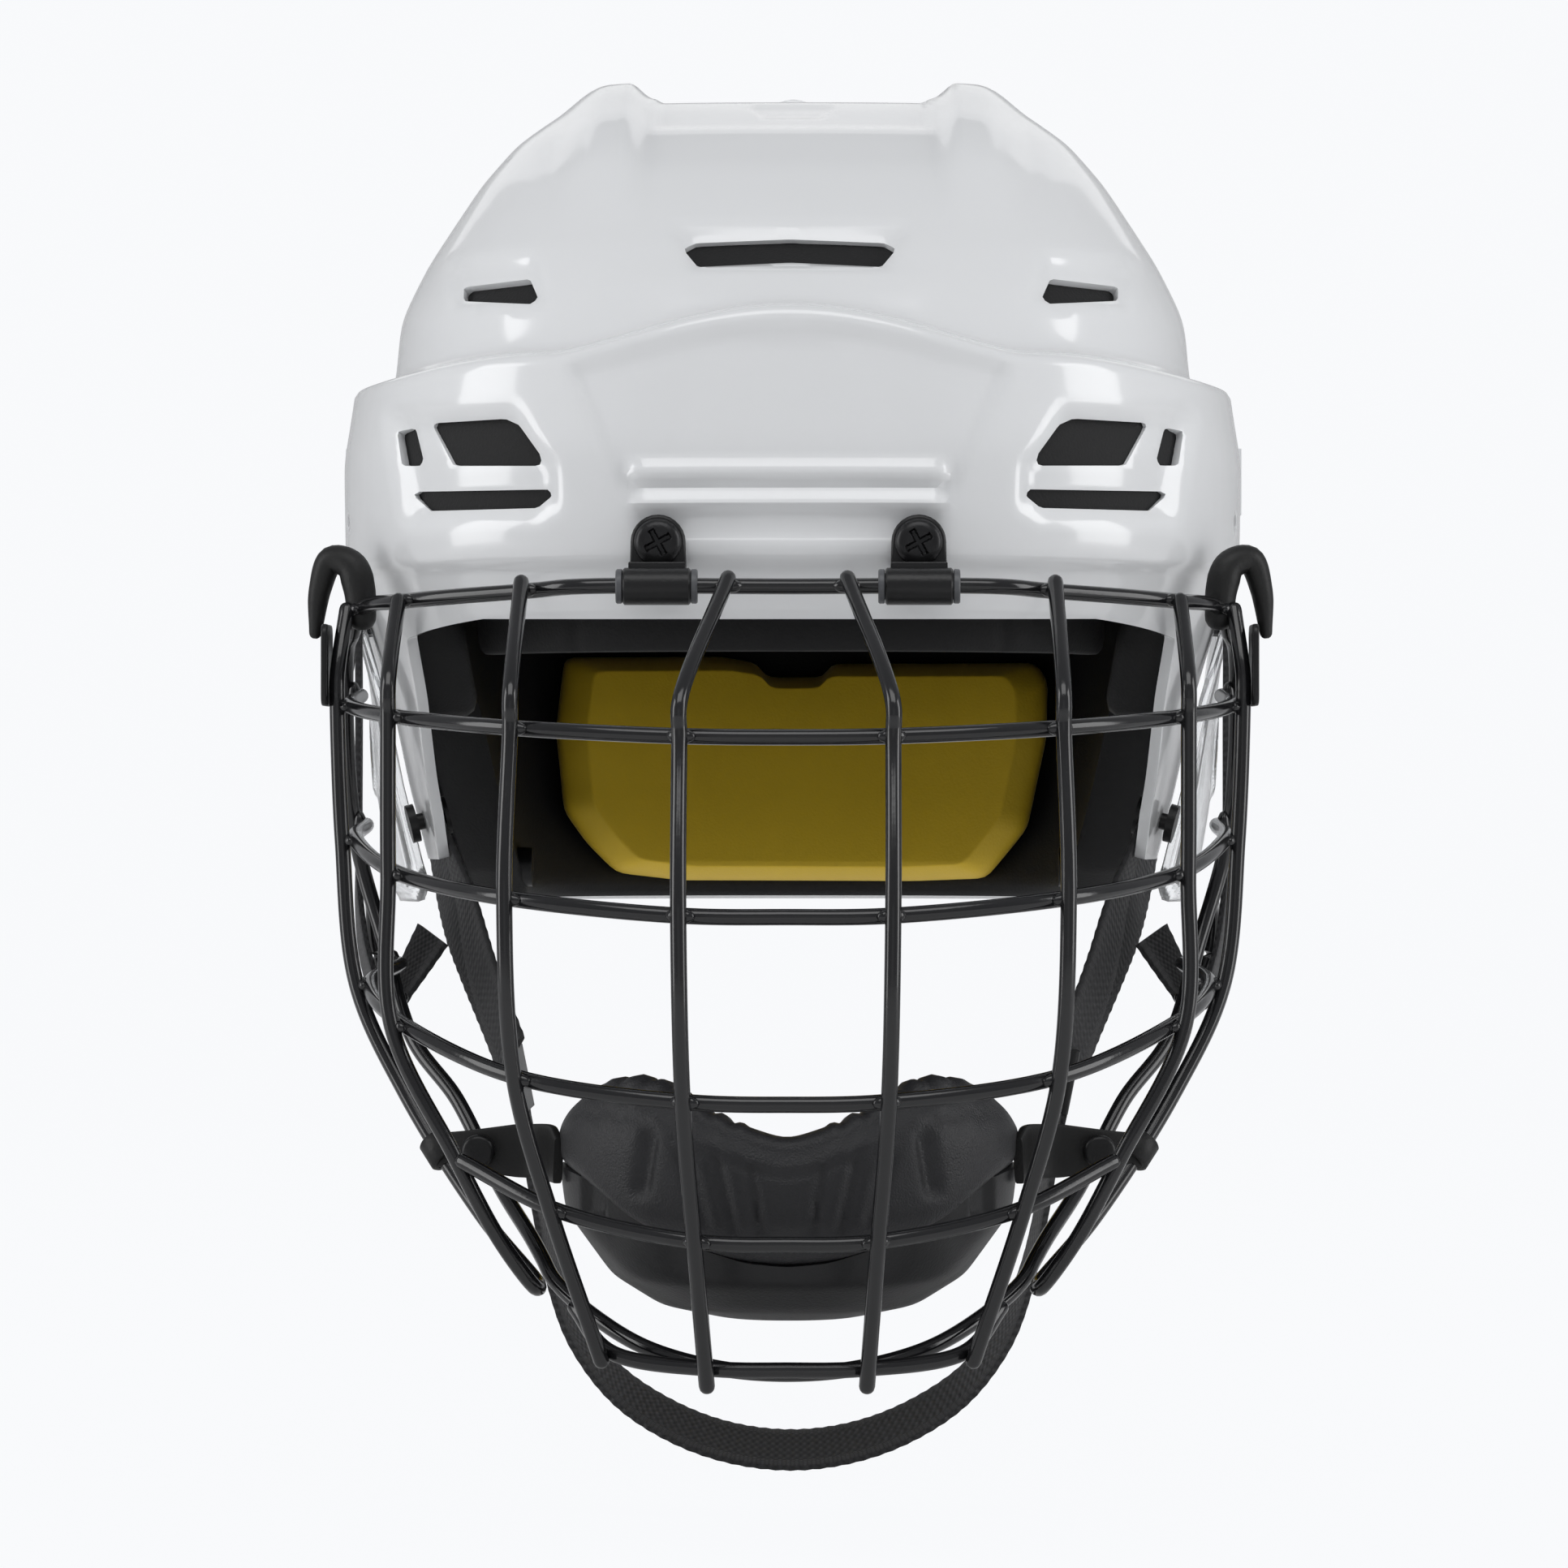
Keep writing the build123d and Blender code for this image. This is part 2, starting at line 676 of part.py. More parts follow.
def outline_at(shares, top, height, depth=0):
    """Half width, front and back reach of a tier between its levels, at a depth."""
    first, last = shares[0][0], shares[-1][0]
    for (low, *near), (high, *far) in zip(shares, shares[1:]):
        bottom = low * top - depth * (low - first) / (last - first)
        over = high * top - depth * (high - first) / (last - first)
        if bottom <= height <= over:
            part = (height - bottom) / (over - bottom)
            width, front, back = (a + part * (b - a) for a, b in zip(near, far))
            return width * shell_width / 2 - depth, front * shell_front - depth, back * shell_back - depth


def make_brow_pad():
    """Forehead pad inside the front of the liner."""
    inset = brow_pad_thickness / 2 + foam_gap
    lowest = brow_pad_level - brow_pad_height / 2 + brow_pad_thickness / 2
    half_width = outline_at(band_shares, band_top, lowest, foam_depth)[0] - inset
    front = outline_at(band_shares, band_top, brow_pad_level, foam_depth)[1] - inset
    table = brow_pad_shares + [(180 - turn, tall, thick) for turn, tall, thick in brow_pad_shares[-2::-1]]
    wires = []
    for turn, tall, thick in table:
        place = arc_place(math.radians(turn), half_width, front, brow_pad_level)
        ahead = arc_place(math.radians(turn + 1), half_width, front, brow_pad_level)
        wires.append(pad_section(
            place, ahead - place, (0, 0, 1), tall * brow_pad_height, thick * brow_pad_thickness))
    return Solid.make_loft(wires, True)


def make_temple_pads():
    """Pads at the temples, on the inside of the liner."""
    inset = temple_pad_thickness / 2 + foam_gap
    wires = []
    lowest = temple_pad_level - temple_pad_height / 2 + temple_pad_thickness / 2
    highest = temple_pad_level + temple_pad_height / 2
    half_width, reach = min(
        outline_at(band_shares, band_top, level, foam_depth)[:2] for level in (lowest, highest))
    for along, tall, thick in temple_pad_shares:
        y = along * shell_front
        ahead = max(0, -y - straight_front) / (reach - inset - straight_front)
        x = (half_width - inset) * (1 - ahead ** plan_power) ** (1 / plan_power)
        place = Vector(x, y, temple_pad_level)
        wires.append(pad_section(
            place, (0, 1, 0), (0, 0, 1), tall * temple_pad_height, thick * temple_pad_thickness))
    return both_sides(Solid.make_loft(wires, True))


def make_crown_pads():
    """Two pads under the crown."""
    end = shell_split - tongue_length - slide_gap
    inner = tier(crown_shares, crown_top, foam_depth + crown_pad_thickness, end, -1)
    skin = tier(crown_shares, crown_top, foam_depth + 2 * foam_gap, end, -1)
    shift = crown_pad_shift_share * crown_pad_width
    outline = [(x * crown_pad_width + shift, y * shell_front) for x, y in crown_pad_shares]
    pad = skin.intersect(prism_z(outline, band_top, 2 * crown_top)).solids()[0].cut(inner)
    return both_sides(pad)


def make_rear_pad():
    """Pad behind the head, with its edges bevelled towards the head."""
    back = front_outline(rear_pad_shares, band_top)
    narrow = 1 - rear_pad_bevel / (shell_width / 4)
    near = shell_back - foam_depth - 2 * rear_pad_thickness - rear_pad_bevel
    behind = Polyline([(x, shell_back, z) for x, z in back], close=True)
    ahead = Polyline([(x * narrow, near, z * narrow) for x, z in back], close=True)
    wedge = Solid.make_loft([Wire(behind.edges()), Wire(ahead.edges())], True)
    outside = tier(band_shares, band_top, foam_depth + foam_gap, shell_back / 2, 1)
    inside = tier(band_shares, band_top, foam_depth + rear_pad_thickness, shell_back / 3, 1)
    return outside.intersect(wedge).solids()[0].cut(inside)


def unit(vector):
    """Vector of length one."""
    return vector * (1 / vector.length)


def wire_radii(points, share):
    """Bend radius at each corner, from the shorter of its two runs."""
    radii = []
    for before, corner, after in zip(points, points[1:], points[2:]):
        back = corner - before
        ahead = after - corner
        half_turn = math.radians(back.get_angle(ahead)) / 2
        radii.append(share * min(back.length, ahead.length) / math.tan(half_turn))
    return radii


def through(places, share):
    """Corners moved outwards until the bent wire passes through every place."""
    corners = list(places)
    for _ in range(bend_passes):
        radii = wire_radii(corners, share)
        moved = [places[0]]
        for place, before, corner, after, radius in zip(places[1:], corners, corners[1:], corners[2:], radii):
            back, ahead = unit(before - corner), unit(after - corner)
            half_turn = (math.pi - math.radians(back.get_angle(ahead))) / 2
            moved.append(place - unit(back + ahead) * (radius / math.cos(half_turn) - radius))
        corners = moved + [places[-1]]
    return corners


def wire_tube(points, diameter, share=bend_share, exact=True):
    """Round wire along straight runs joined by tangent arcs."""
    points = [Vector(*point) for point in points]
    if exact:
        points = through(points, share)
    path = Wire(FilletPolyline(*points, radius=wire_radii(points, share)).edges())
    plane = Plane(path.position_at(0), z_dir=path.tangent_at(0))
    return sweep(plane * Circle(diameter / 2), path=path)


def across_whole(points):
    """A half route and its mirror, the centre point shared."""
    left = [(-x, y, z) for x, y, z in points]
    if points[0][0] == 0:
        return left[::-1] + points[1:]
    return left[::-1] + points


def outward(points, index, gap):
    """Crossing point of an upright on the outer face of a row."""
    x, y, z = points[index]
    before = points[max(index - 1, 0)]
    after = points[min(index + 1, len(points) - 1)]
    if 0 < index < len(points) - 1:
        ahead = unit(Vector(*after) - Vector(*points[index]))
        back = unit(Vector(*points[index]) - Vector(*before))
        run_x, run_y = ahead.X + back.X, ahead.Y + back.Y
    else:
        run_x, run_y = after[0] - before[0], after[1] - before[1]
    run = math.hypot(run_x, run_y)
    return (x + gap * run_y / run, y - gap * run_x / run, z)


cage_scale = (cage_half_width, cage_reach, cage_drop)
top_scale = (cage_half_width, cage_reach, hinge_height)
rows = [scaled(shares, *cage_scale) for shares in (
    row_eye_shares, row_nose_shares, row_mouth_shares, row_chin_shares, row_foot_shares)]
top_run = [(hinge_half_span, -hinge_forward, hinge_height)] + scaled(top_bar_shares, *top_scale)
rim_run = scaled(rim_wire_shares, *cage_scale)
lower_run = scaled(lower_bar_shares, *cage_scale)
rear_bend = scaled(hairpin_rear_bend_shares, *cage_scale)


def between(start, end, share):
    """Place part of the way from start to end."""
    return tuple(a + share * (b - a) for a, b in zip(start, end))


top_joint = between(top_run[-1], rim_run[0], half_share)
low_joint = between(rim_run[-1], lower_run[0], half_share)


def uprights_on_rows(index, last_row):
    """Places of an upright on the outer face of its rows, after a kink over the first."""
    gap = wire - weld_sink
    places = [outward(row, index, gap) for row in rows[:last_row]]
    x, y, z = places[0]
    return [(x, y, z + kink_rise)] + places


def inner_upright():
    """Upright beside the middle, on the outer face of the rows."""
    gap = wire - weld_sink
    top = (inner_top_share * cage_half_width, -hinge_forward - gap, hinge_height + wire / 2)
    foot = outward(rows[-1], 1, gap)
    run = [top] + uprights_on_rows(1, 4) + [(foot[0], foot[1], foot[2] - wire)]
    return wire_tube(run, wire, upright_share)


def outer_upright():
    """Upright at the corner of the face, on the outer face of the rows."""
    gap = wire - weld_sink
    top = outward(top_run, 1, gap)
    foot = outward(rows[-1], 2, gap)
    run = [(top[0], top[1], top[2] + wire / 2)] + uprights_on_rows(2, 4)
    return wire_tube(run + [(foot[0], foot[1], foot[2] - wire / 2)], wire, upright_share)


def hairpin():
    """Side wire that goes down, turns back at the foot and comes up behind."""
    gap = wire - weld_sink
    front_side = [outward(top_run, 2, gap)] + uprights_on_rows(3, 3)
    front_side += scaled(hairpin_bend_shares, *cage_scale)
    rear_side = [outward(top_run, 3, gap)] + uprights_on_rows(4, 3) + rear_bend
    return wire_tube(front_side + rear_side[::-1], wire, upright_share)


def make_cage():
    """Wires of the cage by name. The left ones are mirrored from the right ones."""
    parts = {
        "cage_top_bar": wire_tube(across_whole(top_run + [top_joint]), wire, exact=False),
        "cage_lower_bar": wire_tube(across_whole(([low_joint] + lower_run)[::-1]), wire),
    }
    for name, row in zip(("eye", "nose", "mouth", "chin", "foot"), rows):
        parts[f"cage_row_{name}"] = wire_tube(across_whole(row), wire)
    rim = wire_tube([top_joint] + rim_run + [low_joint], wire)
    loop = wire_tube(scaled(strap_loop_shares, *cage_scale), loop_wire, exact=False)
    for name, part in (
        ("cage_rim_wire", rim), ("cage_inner_upright", inner_upright()),
        ("cage_outer_upright", outer_upright()), ("cage_hairpin", hairpin()), ("cage_strap_loop", loop),
    ):
        parts[f"{name}_right"] = part
        parts[f"{name}_left"] = mirrored(part)
    return parts


def make_cage_tags():
    """Flat tags on the outer face of the hairpins' rear legs, below the hooks."""
    x, y, z = outward(rows[0], 4, wire - weld_sink)
    low = (x + wire / 2 + fit_gap, y - tag_length / 4, z)
    high = (low[0] + tag_wall, low[1] + tag_length, z + tag_height)
    return both_sides(block(low, high))


def make_cage_hook():
    """Soft hook over the end of the top bar, tapering to its tip."""
    places = [Vector(*place) for place in scaled(hook_shares, *top_scale)]
    wires = []
    for index, (place, taper) in enumerate(zip(places, hook_taper_shares)):
        along = places[min(index + 1, len(places) - 1)] - places[max(index - 1, 0)]
        wires.append((Plane(origin=place, z_dir=along) * Circle(taper * hook_radius)).wire())
    return Solid.make_loft(wires, True)



def brow_at(x, height):
    """How far the band's surface is forward of the origin."""
    half_width, front, _ = outline_at(band_shares, band_top, height)
    part = (1 - (abs(x) / half_width) ** plan_power) ** (1 / plan_power)
    return straight_front + (front - straight_front) * part


def cheek_at(forward, height):
    """Half width of the band's surface at a place forward of the origin."""
    half_width, front, _ = outline_at(band_shares, band_top, height)
    ahead = max(0, forward - straight_front) / (front - straight_front)
    return half_width * (1 - ahead ** plan_power) ** (1 / plan_power)


bush_bore = wire / 2 + running_gap
bush_outer = bush_bore + bush_wall
clip_bore = bush_outer + running_gap
clip_outer = clip_bore + clip_wall
clip_face = brow_at(clip_spacing / 2, clip_screw_height) + clip_plate


def across_rod(x, half_length, radius):
    """Bar along the hinge axis about a clip's middle."""
    start = (x - half_length, -hinge_forward, hinge_height)
    return rod(start, (x + half_length, -hinge_forward, hinge_height), radius)


def make_clip(x):
    """Clip round the top bar with its plate against the brow."""
    plate_top = clip_screw_height + clip_plate_height / 2
    plate_foot = clip_screw_height - clip_plate_height / 2
    outline = [
        (-clip_face, plate_top), (-clip_face, plate_foot), (-hinge_forward, hinge_height + clip_outer),
        (-hinge_forward + clip_outer, hinge_height), (-shell_front + clip_wall, plate_foot - clip_plate),
        (-shell_front / 2 - hinge_stand_off, plate_foot - clip_plate), (-shell_front / 2, plate_top),
    ]
    sheet = prism_y([(x - clip_width / 2, 0), (x + clip_width / 2, 0), (x + clip_width / 2, shell_front),
                     (x - clip_width / 2, shell_front)], -shell_reach, 0)
    arm = prism_x(outline, shell_width).intersect(sheet).solids()[0]
    clip = arm.fuse(across_rod(x, clip_width / 2, clip_outer))
    brow = tier(band_shares, band_top, -fit_gap, 0, -1)
    hole = rod((x, -shell_reach, clip_screw_height), (x, 0, clip_screw_height), screw_radius + fit_gap)
    return clip.cut(across_rod(x, clip_width, clip_bore), brow, hole)


def make_bush(x):
    """Flanged bush between the clip and the top bar."""
    sleeve = across_rod(x, clip_width / 2 + bush_width, bush_outer)
    for side in (-1, 1):
        middle = x + side * (clip_width / 2 + bush_width / 2 + fit_gap / 2)
        sleeve = sleeve.fuse(across_rod(middle, bush_width / 2, clip_outer - clip_wall / 4))
    return sleeve.cut(across_rod(x, clip_width, bush_bore))


def make_screw(x):
    """Clip screw with a cross recess."""
    face = (x, -clip_face - fit_gap, clip_screw_height)
    top = (x, -clip_face - fit_gap - screw_head_height, clip_screw_height)
    inner = (x, -brow_at(x, clip_screw_height) + shell_wall + nut_thickness, clip_screw_height)
    screw = rod(top, face, screw_head_radius).fuse(rod(face, inner, screw_radius))
    half, length = screw_cross_width / 2, screw_cross_length / 2
    bottom = top[1] + screw_recess
    low = (top[1] - screw_recess, clip_screw_height)
    flat = block((x - length, low[0], low[1] - half), (x + length, bottom, low[1] + half))
    upright = block((x - half, low[0], low[1] - length), (x + half, bottom, low[1] + length))
    return screw.cut(flat, upright)


def make_nut(x):
    """Barrel nut plate against the inside of the shell."""
    start = (x, -shell_front, clip_screw_height)
    inner = (x, -brow_at(x, clip_screw_height) + shell_wall + nut_thickness + clip_plate, clip_screw_height)
    inside = tier(band_shares, band_top, shell_wall + fit_gap, 0, -1)
    plate = rod(start, inner, nut_radius).intersect(inside).solids()[0]
    return plate.cut(rod(start, inner, screw_radius + running_gap))


def pair(maker):
    """Both clips' copies of a part in one node."""
    return Compound(children=[maker(x) for x in clip_places()])


def guard_wire(height, front, middle, back):
    """Plan outline of the ear guard's sheet at a height."""
    centre = (guard_back - guard_front) / 2
    outside = ThreePointArc(
        (front, -guard_front, height), (middle, centre, height), (back, guard_back, height))
    inside = ThreePointArc(
        (back - guard_wall, guard_back, height), (middle - guard_wall, centre, height),
        (front - guard_wall, -guard_front, height))
    return Wire([outside, Line(outside @ 1, inside @ 0), inside, Line(inside @ 1, outside @ 0)])


def make_ear_guard():
    """Clear guard over the right ear, flared away from the head."""
    lift = guard_gap + guard_wall
    top = cheek_at(straight_front, guard_top) + lift
    mid_level = (guard_top - guard_foot) / 2
    mid = cheek_at(straight_front, mid_level) + guard_bulge
    foot = cheek_at(straight_front, -guard_foot) + guard_flare
    wires = [
        guard_wire(-guard_foot, cheek_at(guard_front, -guard_foot) + lift, foot, foot - guard_wall / 2),
        guard_wire(mid_level, cheek_at(guard_front, mid_level) + lift, mid, mid - guard_wall / 2),
        guard_wire(guard_top, cheek_at(guard_front, guard_top) + lift, top + fit_gap, top),
    ]
    centre = Vector(0, (guard_back - guard_front) / 2, mid_level)
    plane = Plane(origin=centre, x_dir=(0, 1, 0), z_dir=(1, 0, 0))
    width, height = guard_back + guard_front, guard_top + guard_foot
    face = (plane * RectangleRounded(width - fit_gap, height - fit_gap, guard_corner)).faces()[0]
    edge = Solid.extrude(face, Vector(shell_width, 0, 0))
    guard = Solid.make_loft(wires, True).intersect(edge).solids()[0]
    port = rod((0, centre.Y, 0), (shell_width, centre.Y, 0), guard_port)
    return guard.cut(port, *[guard_screw_hole(y, 0) for y in guard_screw_places])


def make_guard_screws():
    """Screws that hold the right ear guard on the shell."""
    screws = []
    for y in guard_screw_places:
        inside = cheek_at(straight_front, guard_screw_level) - shell_wall - 3 * webbing
        face = cheek_at(straight_front, guard_top) + guard_gap + guard_wall + fit_gap
        level = guard_screw_level
        foot_face = inside - fit_gap - nut_thickness
        head = rod((face, y, level), (face + guard_screw_head, y, level), guard_screw_radius)
        shank = rod((inside, y, level), (face, y, level), guard_screw_radius / 2)
        foot = rod((foot_face, y, level), (inside, y, level), guard_screw_radius)
        screws.append(head.fuse(shank, foot).solids()[0])
    return screws


lock_wall_x = shell_width / 2 - shell_wall
lock_face_x = shell_width / 2 + lock_proud
lock_pin_x = lock_wall_x + lock_floor + fit_gap + lock_barrel
lock_pin_y = lock_start + lock_rim + lock_barrel + lock_gap


def make_lock_base():
    """Bezel of the right side lock, set in its window in the shell."""
    body = block((lock_wall_x, lock_start, lock_low - lock_rim), (
        lock_face_x, lock_start + lock_length, lock_high + lock_rim))
    hollow = block((lock_wall_x + lock_floor, lock_start + lock_rim, lock_low), (
        shell_width, lock_start + lock_length - lock_rim, lock_high))
    return body.cut(hollow, lock_axis(lock_pin, lock_rim))


def lock_axis(radius, over):
    """Bar along the lever's hinge axis."""
    return rod((lock_pin_x, lock_pin_y, lock_low - over), (lock_pin_x, lock_pin_y, lock_high + over), radius)


def make_lock_lever():
    """Flip lever of the right side lock."""
    end = lock_start + lock_length - lock_rim - lock_gap
    plate = block((lock_face_x - lock_plate, lock_pin_y, lock_low + lock_gap), (
        lock_face_x, end, lock_high - lock_gap))
    lever = plate.fuse(lock_axis(lock_barrel, -lock_gap))
    return lever.cut(lock_axis(lock_pin + running_gap, lock_rim))


def cup_wire(level, half_width, front, depth):
    """Plan outline of the chin cup at a height."""
    points = []
    for step in range(arc_steps + 1):
        turn = math.pi * step / arc_steps
        cosine = 1 - 2 * step / arc_steps if step in (0, arc_steps) else math.cos(turn)
        sine = 0 if step in (0, arc_steps) else math.sin(turn)
        across = half_width * math.copysign(abs(cosine) ** (2 / cup_power), cosine)
        along = (front - cup_open) * sine ** (2 / cup_power)
        points.append((across, -cup_open - along, level))
    arc = Spline(*points, tangents=((0, -1, 0), (0, 1, 0)))
    end = -cup_open + depth
    left = Line(arc @ 1, (-half_width, end, level))
    right = Line((half_width, end, level), arc @ 0)
    return Wire([arc, left, Line((-half_width, end, level), (half_width, end, level)), right])


def cup_form(depth):
    """The chin cup's shape drawn in by depth, with its foot raised."""
    wires = []
    first, last = cup_shares[0][0], cup_shares[-1][0]
    for level, width, front in cup_shares:
        height = level * cup_foot + depth * (level - first) / (last - first)
        reach = cup_open + front * (cup_front - cup_open) - depth
        wires.append(cup_wire(height, width * cup_half_width - depth, reach, depth + fit_gap))
    return Solid.make_loft(wires, True)


def above_edge(drop):
    """Everything over the cup's wavy edge."""
    edge = [(x * cup_half_width, z * cup_foot - drop) for x, z in cup_edge_shares]
    outline = edge + [(edge[-1][0], 0), (edge[0][0], 0)]
    return prism_y(outline, -shell_reach, 0)


def make_cup_shell():
    """Hard outer cup with its grooves and strap slots."""
    cup = cup_form(0).cut(cup_form(cup_wall), above_edge(cup_lip))
    keep_wall = cup_form(cup_groove)
    cutters = []
    for index, (low, high) in enumerate(cup_groove_shares):
        level = -(cup_groove_level + index * cup_groove_pitch)
        for side in (-1, 1):
            near, far = sorted((side * low * cup_half_width, side * high * cup_half_width))
            low_corner = (near, -shell_reach, level - cup_groove / 2)
            groove = block(low_corner, (far, -cup_open, level + cup_groove / 2))
            cutters.append(groove.cut(keep_wall))
    for side in (-1, 1):
        middle = side * cup_slot_share * cup_half_width
        level = -cup_groove_level - cup_groove_pitch
        half_width, half_height = cup_slot_width / 2, cup_slot_height / 2
        cutters.append(block((middle - half_width, -shell_reach, level - half_height), (
            middle + half_width, -cup_open, level + half_height)))
    return cup.cut(*cutters)


def make_cup_pad():
    """Soft liner of the cup, which stands above its edge."""
    return cup_form(cup_wall + cup_pad_gap).cut(
        cup_form(cup_wall + cup_pad_gap + cup_pad_thickness), above_edge(0))


def ribbon(points, across, width, thickness):
    """Flat webbing along a route: a ruled loft through its sections.

    across is the direction of the webbing's width, or one for each point.
    """
    places = [Vector(*point) for point in points]
    widths = across if isinstance(across, list) else [across] * len(places)
    wires = []
    for index, place in enumerate(places):
        along = unit(places[min(index + 1, len(places) - 1)] - places[max(index - 1, 0)])
        side = Vector(*widths[index])
        side = unit(side - along * side.dot(along))
        plane = Plane(origin=place, x_dir=side, z_dir=along)
        wires.append((plane * Rectangle(width, thickness)).wire())
    return Solid.make_loft(wires, True)


loop_low, loop_high = rear_bend[0], rear_bend[1]
pivot = between(loop_low, loop_high, arm_place_share)
arm_radius = wire / 2 + arm_loop_gap


def make_cup_arm():
    """Right arm of the chin cup, looped round the hairpin's rear leg."""
    start = between(loop_low, loop_high, arm_place_share - arm_span_share)
    end = between(loop_low, loop_high, arm_place_share + arm_span_share)
    sleeve = rod(start, end, arm_radius + arm_loop_wall)
    half_width = cup_shares[1][1] * cup_half_width
    side = half_width + arm_thickness / 2 + 2 * cup_pad_gap
    run = [
        (pivot[0] - arm_radius, pivot[1] - arm_thickness, pivot[2]),
        ((pivot[0] + side) / 2 + arm_thickness, pivot[1] - arm_thickness * 2, pivot[2]),
        (side + arm_thickness, -cup_open - arm_thickness * 2, pivot[2]),
        (side - arm_thickness / 4, -cup_open - arm_height, pivot[2] - arm_thickness / 2),
    ]
    strap = ribbon(run, (0, 0, 1), arm_height, arm_thickness)
    arm = strap.fuse(sleeve)
    return arm.cut(rod(between(loop_low, loop_high, 0), loop_high, arm_radius), cup_form(-2 * cup_pad_gap))


def make_cup_button():
    """Round button on the face of the right arm."""
    x = pivot[0] + button_place_share * (cup_half_width - pivot[0])
    y = pivot[1] - arm_thickness * 2
    button = rod((x, y - stud_head - arm_thickness, pivot[2]), (x, y, pivot[2]), stud_radius)
    return button.cut(make_cup_arm())


harness_scale = (shell_width / 2, shell_front, band_top)

# Directions across the webbing
cage_strap_across = (0.05, 1, 0)
front_strap_across = (0.105, 1, 0)
chin_strap_across = (0, 0.91, 0.41)


def make_cage_strap():
    """Right cage strap: down outside the guard, under its loop and up inside."""
    strap = ribbon(scaled(cage_strap_shares, *cage_scale), cage_strap_across, cage_strap_width, webbing)
    return strap.cut(cage_strap_stud(running_gap))


def cage_strap_stud(extra):
    """Snap at the top of the right cage strap, with its shank grown by extra."""
    x, y, z = scaled(cage_strap_shares[:1], *cage_scale)[0]
    z = z - snap_radius - webbing
    outside = x + webbing / 2 + fit_gap
    cap = rod((outside, y, z), (outside + snap_height, y, z), snap_radius)
    return cap.fuse(rod((x - webbing / 2, y, z), (outside, y, z), snap_radius / 2 + extra))


def harness_run(shares):
    """Route of a harness strap on the right."""
    return scaled(shares, *harness_scale)


def anchor_axis():
    """Place of the anchor on the shell's surface and the direction out of it."""
    forward, height = harness_anchor_forward, -harness_anchor_drop
    place = Vector(cheek_at(forward, height), -forward, height)
    ahead = (cheek_at(forward + anchor_radius, height) - place.X) / anchor_radius
    up = (cheek_at(forward, height + anchor_radius) - place.X) / anchor_radius
    return place, unit(Vector(1, ahead, -up))


def anchor(extra):
    """Stud that holds the right front harness strap on the shell, grown by extra."""
    place, out = anchor_axis()
    head = rod(place + out * anchor_lift, place + out * (anchor_head + anchor_lift), anchor_radius)
    depth = shell_wall + 2 * webbing + fit_gap
    shank = rod(place - out * depth, place + out * anchor_head, anchor_shank + extra)
    foot = rod(place - out * (depth + anchor_head / 2), place - out * depth, anchor_radius)
    return head.fuse(shank, foot)


def make_front_strap():
    """Right front strap of the harness."""
    strap = ribbon(harness_run(harness_front_shares), front_strap_across, side_strap_width, webbing)
    return strap.cut(anchor(fit_gap))


def make_rear_strap():
    """Right rear strap of the harness, held by the rear screw of the ear guard."""
    strap = ribbon(harness_run(harness_rear_shares), (0, 1, 0), side_strap_width, webbing)
    return strap.cut(guard_screw_hole(guard_screw_places[1], 0))


def chin_run():
    """Route of the chin strap from the right slider to the left one."""
    right = scaled(chin_strap_shares, *harness_scale)
    return right + [(-x, y, z) for x, y, z in right[-2::-1]]


def make_slider():
    """Right slider, where the two harness straps and the chin strap meet."""
    middle = scaled([slider_place_share], *harness_scale)[0]
    run = harness_run(harness_front_shares)
    down = unit(Vector(*chin_run()[1]) - Vector(*run[-1]))
    side = unit(Vector(0, 1, 0) - down * down.Y)
    plane = Plane(origin=middle, x_dir=side, z_dir=down)
    width = 2 * harness_width + slider_wall
    face = (plane * RectangleRounded(width, slider_thickness, pad_corner_share * slider_thickness)).faces()[0]
    body = Solid.extrude(face, down * slider_height).moved(Location(down * (-slider_height / 2)))
    room = 2 * webbing_gap
    cutters = []
    for shares, across in ((harness_front_shares, front_strap_across), (harness_rear_shares, (0, 1, 0))):
        cutters.append(ribbon(harness_run(shares), across, side_strap_width + room, webbing + room))
    cutters.append(ribbon(chin_run()[:2], chin_strap_across, harness_width + room, webbing + room))
    return body.cut(*cutters)


